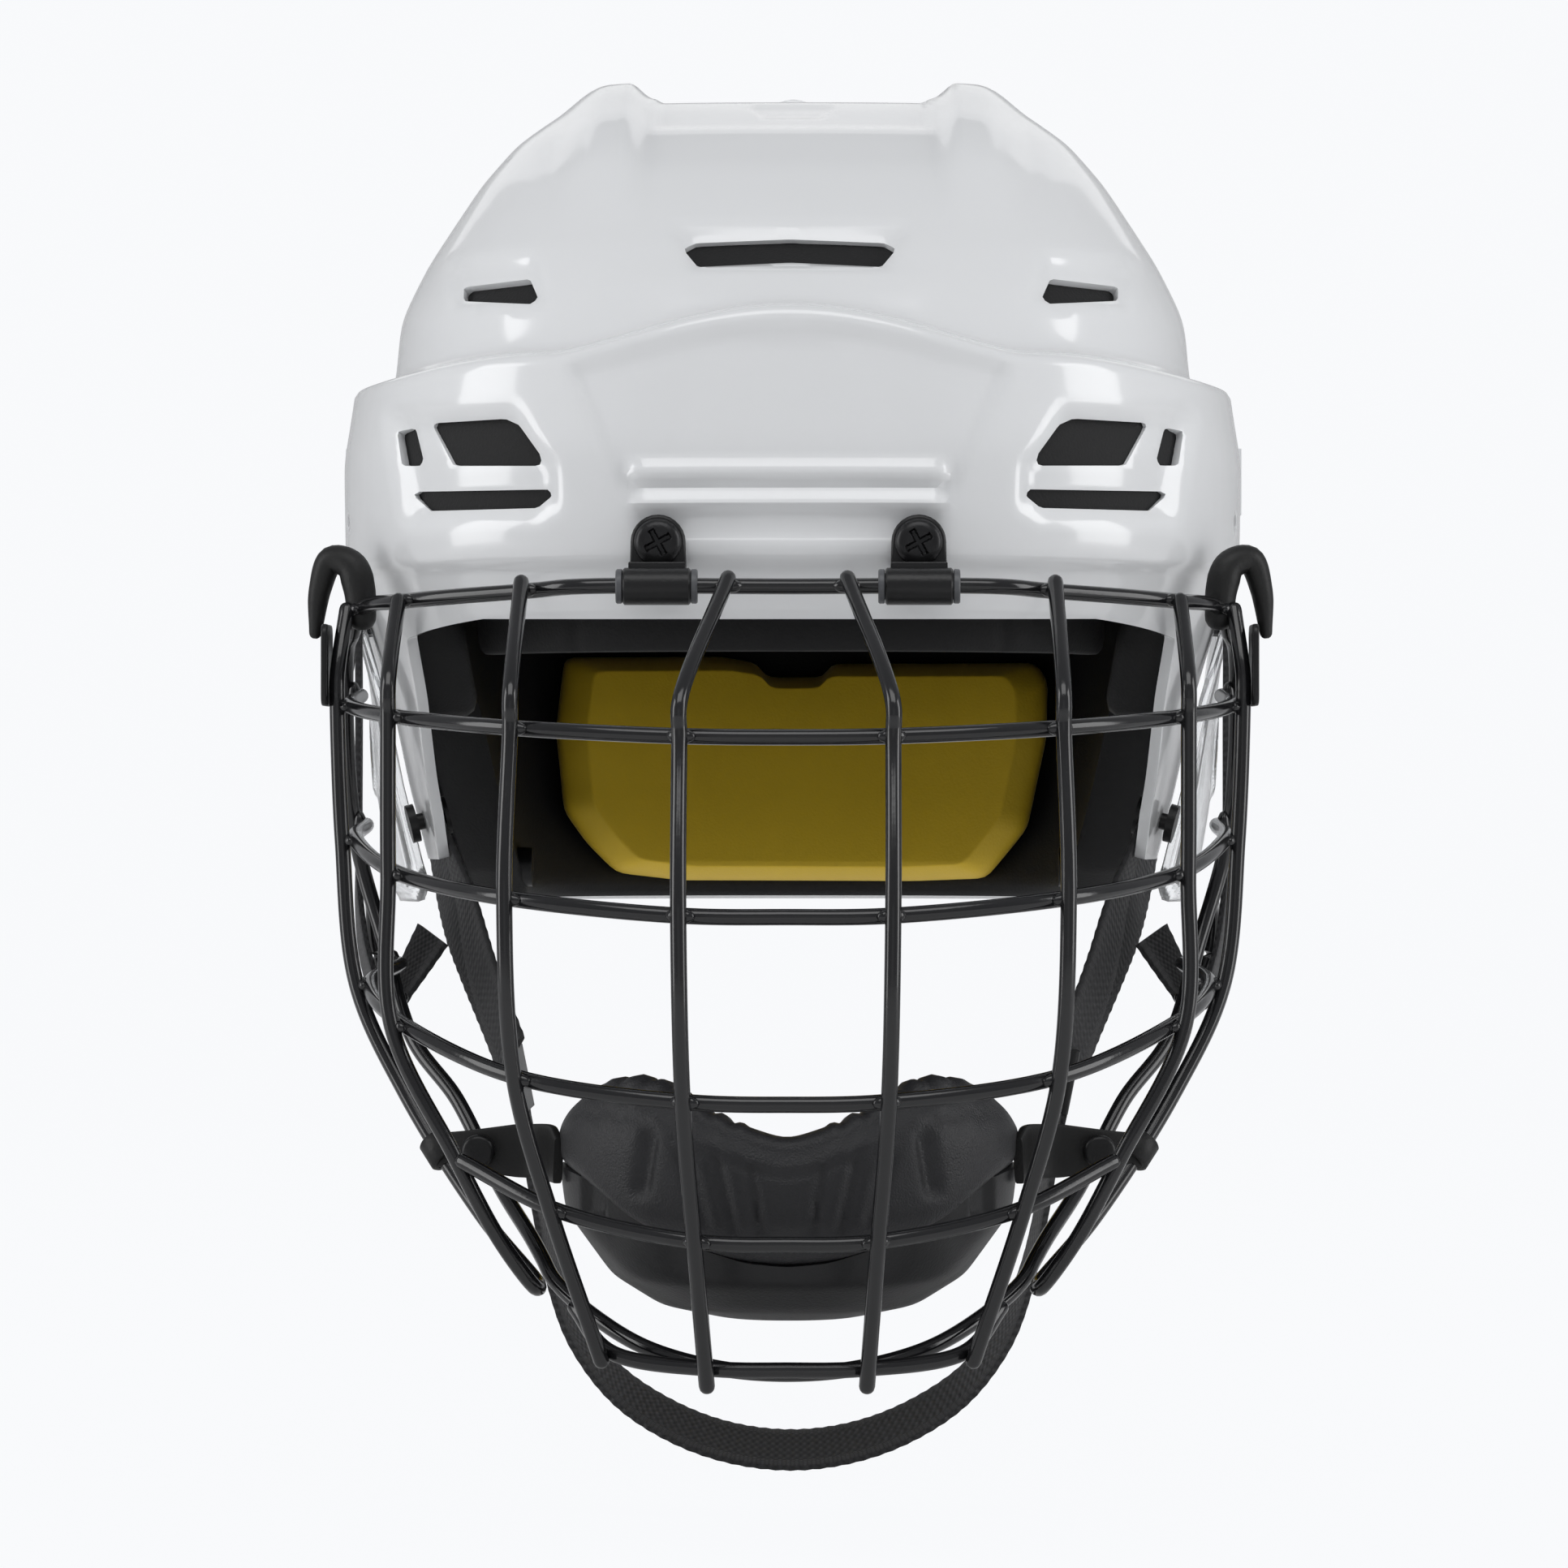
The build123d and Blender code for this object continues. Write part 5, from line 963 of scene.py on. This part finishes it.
flat = rounded_rectangle(high[1] - low[1], high[2] - low[2], 2.5)
plate = np.stack([0 * flat[:, 0], flat[:, 0], flat[:, 1]], axis=1)
tag = slab(plate, (high[0] - TAG_WALL, (low[1] + high[1]) / 2, (low[2] + high[2]) / 2), (1, 0, 0),
           TAG_WALL, 0.5)
joined("cage_tag_plates", both_sides(tag, OPEN), "cage", plastic_black, "cage_tags")
hook = curve_through(cage_places([(0.942, 0.470, 0.300), (0.948, 0.470, 0.352), (0.966, 0.467, 0.392),
                                  (1.010, 0.459, 0.402), (1.036, 0.454, 0.350), (1.047, 0.450, 0.272)]), 0.8)
swell = np.interp(np.linspace(0, 1, len(hook)), [0, 0.25, 0.5, 0.8, 1], [3.4, 3.9, 3.3, 2.4, 1.5])
grid = tube(hook, swell, (0, 1, 0), 18)
joined("cage_rubber_hooks", both_sides(grid, CAPPED), "cage", rubber_black, "cage_hooks", 60)

# Hinge clips: a barrel round each bush, a round plate for its screw and the neck between them
def sleeve(start, axis, profile, sides=40):
    """A closed section turned round an axis, for joined."""
    return lathe(start, axis, profile, sides), RING


CLIP_HALF, CLIP_FACE, SCREW_Z = 6.4, -140.3, 54.8
clips, bushes = [], []
for x in (-CLIP_X, CLIP_X):
    axle = np.array([x, HINGE_Y, HINGE_Z])
    bushes.append(sleeve(axle - (9.2, 0, 0), (1, 0, 0), [
        (0, 1.85), (0, 3.6), (0.3, 3.9), (1.3, 3.9), (1.5, 3.6), (1.5, 3.0), (16.9, 3.0), (16.9, 3.6),
        (17.1, 3.9), (18.1, 3.9), (18.4, 3.6), (18.4, 1.85)]))
    clips.append(sleeve(axle - (7.6, 0, 0), (1, 0, 0), [
        (0, 3.05), (0, 3.8), (0.4, 4.2), (14.8, 4.2), (15.2, 3.8), (15.2, 3.05)]))
    plate = [(x + 6.2 * math.cos(a), CLIP_FACE, SCREW_Z + 6.2 * math.sin(a))
             for a in np.linspace(0, math.pi, 15)]
    plate = np.array(plate + [(x - CLIP_HALF, CLIP_FACE, 47.8), (x + CLIP_HALF, CLIP_FACE, 47.8)])
    clips.append((slab(plate, plate.mean(axis=0), (0, 1, 0), 5.2, 0.8), OPEN))
    neck = np.array([(x + side * CLIP_HALF, y, z) for side, y, z in (
        (-1, HINGE_Y, 47.2), (1, HINGE_Y, 47.2), (1, -138.0, 49.6), (-1, -138.0, 49.6))])
    clips.append((slab(neck, neck.mean(axis=0) - (0, 0, 2.2), (0, 0, 1), 2.6, 0.5), OPEN))
joined("hinge_clip_bodies", clips, "helmet", plastic_black, "hinge_clips", 40)
joined("clip_bush_rings", bushes, "helmet", bush_grey, "clip_bushes", 40)


def screw_head(centre, radius=5.4, depth=2.1, cross=3.1, cross_width=0.62, tilt=0.5):
    """Pan head with a cross recess: rings of a dome, each point sunk where it lies in the cross."""
    ring = np.concatenate([np.linspace(0.01, radius * 0.86, 26),
                           radius * np.sin(np.linspace(1.05, math.pi / 2, 6))])
    u, w = (ring[:, None] * turn for turn in circle_points(72).T)
    dome = depth * np.sqrt(np.clip(1 - (ring / radius) ** 4, 0, 1))[:, None] * np.ones_like(u)
    p, q = u * math.cos(tilt) + w * math.sin(tilt), -u * math.sin(tilt) + w * math.cos(tilt)
    arm = np.minimum(np.maximum(np.abs(p) - cross, np.abs(q) - cross_width),
                     np.maximum(np.abs(q) - cross, np.abs(p) - cross_width))
    dome = dome - 1.3 * smoothstep(-(arm - 0.15) / 0.35) * smoothstep((cross + 0.6 - ring[:, None]) / 0.6)
    return np.stack([centre[0] + u, centre[1] - dome, centre[2] + w], axis=-1)


heads = [(screw_head((x, CLIP_FACE - 0.1, SCREW_Z - 0.2)), OPEN) for x in (-CLIP_X, CLIP_X)]
joined("clip_screw_heads", heads, "helmet", screw_black, "clip_screws", 40)

# Ear guards: x over a sheet of (y, z) is the cheek plus a bulge, with a raised rim and port
CHEEK = ([-42, -20, 0, 20, 40, 53], [80.8, 87.9, 93.0, 97.1, 103.1, 108.2])
PORT = 9
low, high = box_mm("ear_guard_right")
y, z = np.meshgrid(np.linspace(low[1] + 0.5, high[1] - 0.5, 70), np.linspace(low[2] + 0.5, high[2] - 0.5, 80))
forward = np.clip(((low[1] + high[1]) / 2 - y) / ((high[1] - low[1]) / 2), 0, 1)
down = np.clip((44 - z) / 73, 0, 1)
x = np.interp(z, *CHEEK) + 2.3 + 9.2 * np.sin(down * math.pi / 2) ** 1.2 * (1 - forward ** 2.2)
centre_y, centre_z = (y.min() + y.max()) / 2, (z.min() + z.max()) / 2
corner = outline_distance(
    y, z, [(y.min(), z.min()), (y.max(), z.min()), (y.max(), z.max()), (y.min(), z.max())], 10)
port = np.hypot(y - centre_y, z - centre_z) - PORT
x = x + np.exp(-(port / 1.6) ** 2) + 0.8 * np.exp(-((corner + 3.0) / 1.2) ** 2)


def guard_cut(points):
    """Distance to the guard's edge, its port and its screw holes."""
    y, z = points[..., 1], points[..., 2]
    edge = -outline_distance(y, z, [(-22.9, -28.9), (39.9, -28.9), (39.9, 43.9), (-22.9, 43.9)], 9)
    port = np.hypot(y - centre_y, z - centre_z) - (PORT - 0.4)
    return np.minimum(edge, np.minimum(port, np.hypot(np.abs(y) - 9, z - 38.5) - 2.1))


verts, faces = pierced(np.stack([x, y, z], axis=-1), guard_cut)
for side, sheet in (("right", verts), ("left", flipped(verts))):
    guard = mesh_piece(f"ear_guard_{side}_sheet", sheet, faces, "helmet", clear, f"ear_guard_{side}", 60)
    give_wall(guard, 1.8, 0)

# Chin cup
CUP_HALF, CUP_FRONT, CUP_OPEN, CUP_FOOT = 53.0, 176.0, 126.0, 121.0
CUP_LEVELS = [(-0.50, 0.93, 0.90), (-0.66, 1.00, 1.00), (-0.80, 0.96, 1.00), (-0.92, 0.76, 0.86),
              (-0.975, 0.56, 0.68), (-1.00, 0.30, 0.40), (-1.004, 0.02, 0.05)]
PAD_EDGE = [(0, -80.9), (9.4, -78.3), (20.4, -74.3), (30.7, -68.8), (40.3, -67.2), (48.8, -70.5), (52.5, -79.9),
            (64, -84.7)]
SHELL_EDGE = [(0, -107.2), (11.5, -106.3), (23.0, -103.0), (34.0, -98.0), (41.2, -91.8), (47, -88.0),
              (53, -86.5), (64, -86.0)]


def smooth_edge(places, spread=6.0):
    """An even line through an edge's places and their mirrors: (across, height)."""
    half = np.array(places)
    whole = np.concatenate([half[::-1] * (-1, 1), half[1:]])
    across = np.linspace(-64, 64, 257)
    return across, blurred(np.interp(across, *whole.T)[:, None], 24, spread, mode="edge")[:, 0]


def rippled(edge_line, rise, pitch, first, last):
    """An edge line with small even bumps between two places on each side."""
    across, height = edge_line
    away = np.abs(across)
    fade = smoothstep((away - first) / 4) * smoothstep((last - away) / 4)
    return across, height + rise * fade * np.cos(2 * math.pi * away / pitch)


def cup_grid(depth, edge_line, rows=64, cols=150):
    """The cup drawn in by depth, from an edge line to its foot, as superellipse arcs."""
    table = np.array([(z * CUP_FOOT, w * CUP_HALF, (f * (CUP_FRONT - CUP_OPEN))) for z, w, f in CUP_LEVELS])
    fine_run = np.linspace(0, 1, 400)
    run = run_along(table[:, :2])
    line = blurred(columns_at(fine_run, run / run[-1], table), 20, 9.0, **ODD_ENDS)
    line[:, 1:] = np.maximum(line[:, 1:] - depth, 0.02)
    line[:, 0] += depth * fine_run ** 3
    sx, sy = oval_turn(np.linspace(0, math.pi, cols), 2.3)
    first = np.interp(-np.interp(sx * CUP_HALF, *edge_line), -line[:, 0], fine_run)
    share = first[None] + np.linspace(0, 1, rows)[:, None] ** 1.05 * (1 - first[None])
    high, half, deep = (np.interp(share, fine_run, column) for column in line.T)
    return np.stack([half * sx, -CUP_OPEN - deep * sy, high], axis=-1)


def closed_bowl(name, outer, inner, finish, stands_for, rim_lift):
    """Bowl from its outer and inner face, joined by a rounded rim and closed at its open back."""
    rim = [outer[:1] * share + inner[:1] * (1 - share) + np.array([0, 0, rim_lift * lift])
           for share, lift in ((0.85, 0.7), (0.5, 1.0), (0.15, 0.7))]
    points = np.concatenate([outer[::-1], *rim, inner])
    rows_all, cols_all = points.shape[:2]
    faces = quads(rows_all, cols_all, False, False)
    for k in (0, cols_all - 1):
        loop = [r * cols_all + k for r in range(rows_all)]
        faces += [[loop[i], loop[i + 1], loop[-2 - i], loop[-1 - i]] for i in range(rows_all // 2 - 1)]
    return mesh_piece(name, points.reshape(-1, 3), faces, "chin_cup", finish, stands_for, sharp=50)


hard_edge, soft_edge = smooth_edge(SHELL_EDGE), rippled(smooth_edge(PAD_EDGE, 7.0), 0.55, 5.4, 8, 46)
hard_outer = cup_grid(0, hard_edge)
hard_inner = cup_grid(2.3, hard_edge)
slot = outline_distance(np.abs(hard_outer[..., 0]), hard_outer[..., 2],
                        [(41.4, -97.4), (45.8, -97.4), (45.8, -87.4), (41.4, -87.4)], 1.2)
normals = unit(hard_outer - np.array([0, -128.0, -70.0]))
hard_outer = hard_outer - normals * 1.9 * smoothstep(-(slot - 0.8) / 1.4)[..., None]
closed_bowl("chin_cup_hard_shell", hard_outer, hard_inner, cup_black, "chin_cup_shell", 0.5)

soft_outer = cup_grid(2.5, soft_edge)
soft_inner = cup_grid(10.2, soft_edge)
xs, zs = soft_outer[..., 0], soft_outer[..., 2]
over = zs - np.interp(xs, *hard_edge)
under_edge = np.interp(xs, *soft_edge) - zs
puff = 3.7 * smoothstep((over + 1.0) / 5.0) * smoothstep((57 - np.abs(xs)) / 12)
puff = puff * (0.45 + 0.55 * smoothstep(under_edge / 7))
grooves = 0.8 * np.exp(-((under_edge - 6.5) / 0.9) ** 2) * smoothstep((48 - np.abs(xs)) / 4)
# Creases of the pad: place across, lowest and highest level, depth, lean and width
CREASES = [(6.4, -100, -84, 1.3, 0.16, 1.25), (12.4, -99.5, -82.5, 1.3, 0.24, 1.25),
           (18.2, -98, -81, 1.2, 0.30, 1.25), (30.8, -92, -77, 2.0, -0.16, 1.7)]
for centre_x, low_z, high_z, deep, lean, wide in CREASES:
    place = centre_x + (zs + 93) * lean
    grooves += (deep * np.exp(-((np.abs(xs) - place) / wide) ** 2)
                * smoothstep((zs - low_z) / 2) * smoothstep((high_z - zs) / 2))
normals = unit(soft_outer - np.array([0, -126.0, -88.0]))
soft_outer = soft_outer + normals * (puff - grooves)[..., None]
soft = closed_bowl("chin_cup_soft_pad", soft_outer, soft_inner, cup_skin, "chin_cup_pad", 2.0)

# Arms of the cup, round the cage's rear wires, with their buttons
pivot = REAR_BEND[0] + 0.46 * (REAR_BEND[1] - REAR_BEND[0])
arm_path = curve_through(np.array([
    (52.0, -141.0, pivot[2] - 1.5), (54.4, -133.0, pivot[2]), (59.0, -126.5, pivot[2]),
    (68.0, -125.0, pivot[2]), (75.0, -123.6, pivot[2]), (81.5, -121.9, pivot[2])]), 1.2)
wide = np.interp(np.linspace(0, 1, len(arm_path)), [0, 0.15, 0.5, 0.8, 1], [10.5, 12.8, 12.2, 9.0, 7.5])
section = rounded_section(1.0, 1.0, 6)[None] * np.stack([wide, np.full(wide.shape, 2.2)], axis=-1)[:, None]
arm = carry(arm_path, (0, 0, 1), section)
axis = unit(REAR_BEND[1] - REAR_BEND[0])
ring, _ = sleeve(
    pivot - axis * 3.2, axis, [(0, 2.75), (0, 3.6), (0.4, 4.0), (6.0, 4.0), (6.4, 3.6), (6.4, 2.75)], 30)
joined("chin_cup_arm_straps", both_sides(arm, CAPPED) + both_sides(ring, RING), "chin_cup", rubber_black,
       "chin_cup_arms")
low, high = box_mm("chin_cup_buttons")
STUD = 3.8
stud = lathe((high[0] - STUD, high[1], pivot[2]), (0, -1, 0),
             button_profile(high[1] - low[1] + 0.3, STUD, 1.2), 36)
joined("chin_cup_studs", both_sides(stud, OPEN), "chin_cup", plastic_black, "chin_cup_buttons")


# Webbing
WEBBING = 1.6
EDGE_NOTCH, NOTCH_PITCH, STRAP_STEP, STRAP_SIDES = 0.35, 3.2, 0.8, 28
HARNESS = (WIDTH, FRONT, BAND_TOP)


def strap_piece(name, points, across, width, body, stands_for, mirrored=True):
    """Flat strap along a route: a flattened superellipse with edges that the weave notches evenly.

    across is the direction of its width, or a row of directions from start to end. The weave's UV is the
    place across it and the length along it.
    """
    path = curve_through(points, STRAP_STEP)
    run = np.arange(len(path)) * STRAP_STEP
    across = np.atleast_2d(np.asarray(across, float))
    across = columns_at(np.linspace(0, 1, len(path)), np.linspace(0, 1, len(across)), across)
    notch = 1 - EDGE_NOTCH / width * (1 + np.cos(run * 2 * math.pi / NOTCH_PITCH))
    section = rounded_section(1.0, 1.0, 8, STRAP_SIDES)[None] * np.stack(
        [width * notch, np.full(notch.shape, WEBBING)], axis=-1)[:, None]
    grid = carry(path, across, section)
    uv = np.stack(np.broadcast_arrays(width / 2 * circle_points(STRAP_SIDES)[None, :, 0], run[:, None]),
                  axis=-1)
    parts = both_sides(grid, CAPPED) if mirrored else [(grid, CAPPED)]
    joined(name, parts, body, web_black, stands_for, uvs=[uv] * len(parts), merge=0.005)


CAGE_STRAP = cage_places([(0.987, 0.187, 0.315), (0.984, 0.202, 0.138), (0.981, 0.230, -0.077),
                          (0.978, 0.243, -0.223), (0.962, 0.247, -0.320), (0.940, 0.247, -0.375),
                          (0.910, 0.247, -0.409), (0.880, 0.247, -0.372), (0.811, 0.247, -0.277)])
FRONT_STRAP = cage_places([(0.785, 0.345, -0.070), (0.728, 0.388, -0.245), (0.675, 0.475, -0.449),
                           (0.605, 0.567, -0.650)], HARNESS)
REAR_STRAP = cage_places([(0.898, -0.065, 0.388), (0.877, -0.058, 0.276), (0.800, 0.100, -0.122),
                          (0.715, 0.302, -0.408), (0.618, 0.437, -0.650)], HARNESS)
CHIN = cage_places([(0.000, 0.615, -1.590), (0.184, 0.612, -1.556), (0.350, 0.597, -1.459),
                    (0.442, 0.590, -1.347), (0.507, 0.568, -1.190), (0.590, 0.515, -0.760)], HARNESS)
# The harness straps turn towards the front on their way down
TURNED = [(0.1, 1, 0), (0.3, 0.95, 0), (0.45, 0.89, 0), (0.5, 0.87, 0)]
FOLDED = [(0.05, 1, 0), (0.05, 1, 0), (0.05, 1, 0), (0.2, 0.98, 0), (0.5, 0.87, 0)]
strap_piece("cage_strap_webbing", CAGE_STRAP, FOLDED, 20, "cage", "cage_straps")
strap_piece("harness_front_webbing", FRONT_STRAP, TURNED, 15, "helmet", "harness_front_straps")
strap_piece("harness_rear_webbing", REAR_STRAP, TURNED, 15, "helmet", "harness_rear_straps")
strap_piece("chin_strap_webbing", across_whole(CHIN), (0, 0.91, 0.41), 18, "helmet", "chin_strap",
            mirrored=False)

# Finishes of the CAD nodes that stay
STAYING = {
    plastic_black: ("guard_screws", "strap_sliders", "strap_anchors", "pad_rivets", "cage_strap_snaps"),
    shell_white: ("lock_base_right", "lock_base_left", "lock_lever_right", "lock_lever_left"),
    steel_plain: ("clip_nuts", "lock_pins"),
}
for finish, names in STAYING.items():
    for name in names:
        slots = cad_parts[name].data.materials
        slots.clear()
        slots.append(finish)

# Studio
PALE = (0.953, 0.962, 0.979, 1)
FLOOR_Z, BEND_START, BEND_RADIUS, WALL_TOP, HALF_SPAN = -172.0, 2300.0, 700.0, 2600.0, 3000.0
curve = [(-WALL_TOP, FLOOR_Z)]
curve += [(BEND_START + BEND_RADIUS * math.sin(a), FLOOR_Z + BEND_RADIUS * (1 - math.cos(a)))
          for a in np.linspace(0, math.pi / 2, 24)]
curve += [(BEND_START + BEND_RADIUS, WALL_TOP)]
sweep = np.array([[(x, y, z) for x in (-HALF_SPAN, 0, HALF_SPAN)] for y, z in curve])
mesh = bpy.data.meshes.new("studio_sweep")
mesh.from_pydata((sweep.reshape(-1, 3) * MM).tolist(), [], quads(*sweep.shape[:2], False, False))
mesh.shade_smooth()
floor = bpy.data.objects.new("studio_sweep", mesh)
bpy.context.scene.collection.objects.link(floor)


def white_if_seen(owner, dim, bright, share, output):
    """Nodes that are bright to the camera, straight or through the clear guards, and as usual to the rest."""
    owner.use_nodes = True
    tree = owner.node_tree
    tree.nodes.clear()
    light = node(tree, "ShaderNodeLightPath")
    seen = maths(tree, "MAXIMUM", light.outputs["Is Camera Ray"], light.outputs["Is Transmission Ray"])
    mix = node(tree, "ShaderNodeMixShader", [
        (0, maths(tree, "MULTIPLY", seen, share)), (1, node(tree, dim[0], **dim[1]).outputs[0]),
        (2, node(tree, bright, Color=PALE, Strength=1.0).outputs[0])])
    node(tree, output, [("Surface", mix.outputs[0])])


pale = bpy.data.materials.new("pale sweep")
white_if_seen(pale, ("ShaderNodeBsdfDiffuse", {"Color": (0.9, 0.9, 0.9, 1)}), "ShaderNodeEmission", 0.98,
              "ShaderNodeOutputMaterial")
floor.data.materials.append(pale)
world = bpy.data.worlds.new("studio")
bpy.context.scene.world = world
white_if_seen(world, ("ShaderNodeBackground", {"Color": (0.95, 0.965, 1.0, 1), "Strength": 0.35}),
              "ShaderNodeBackground", 1.0, "ShaderNodeOutputWorld")


def soft_light(name, place, target, size, power):
    """Rectangular soft box aimed at a point."""
    data = bpy.data.lights.new(name, "AREA")
    data.shape = "RECTANGLE"
    data.size, data.size_y = size
    data.energy = power
    lamp = bpy.data.objects.new(name, data)
    lamp.location = place
    lamp.rotation_euler = (Vector(target) - Vector(place)).to_track_quat("-Z", "Y").to_euler()
    bpy.context.scene.collection.objects.link(lamp)


soft_light("key_above", (0.0, -1.2, 1.65), (0, -0.02, 0.08), (1.8, 1.0), 13)
for name, x in (("left_box", -1.6), ("right_box", 1.6)):
    soft_light(name, (x, -0.45, 0.35), (0, -0.05, 0.03), (0.7, 1.6), 11)
soft_light("front_fill", (0.0, -2.4, 0.2), (0, 0, 0), (1.2, 1.2), 0.7)
soft_light("back_box", (0.0, 1.3, 1.0), (0, 0, 0.05), (1.6, 0.8), 2)

# Camera: level, 1.7 m away, turned by half a degree, with the photograph's size and focal length in pixels
DISTANCE, YAW, PIXELS, FOCAL, OFF_CENTRE, SENSOR = VIEW * MM, math.radians(0.5), 1932, 8500, 12, 36
camera_data = bpy.data.cameras.new("front_view")
camera_data.sensor_width, camera_data.lens = SENSOR, SENSOR * FOCAL / PIXELS
camera_data.shift_x, camera_data.clip_end = -OFF_CENTRE / PIXELS, 50
camera = bpy.data.objects.new("front_view", camera_data)
camera.location = (DISTANCE * math.sin(YAW), -DISTANCE * math.cos(YAW), 0)
camera.rotation_euler = (math.pi / 2, 0, YAW)
bpy.context.scene.collection.objects.link(camera)
bpy.context.scene.camera = camera
bpy.context.scene.view_settings.view_transform = "Standard"
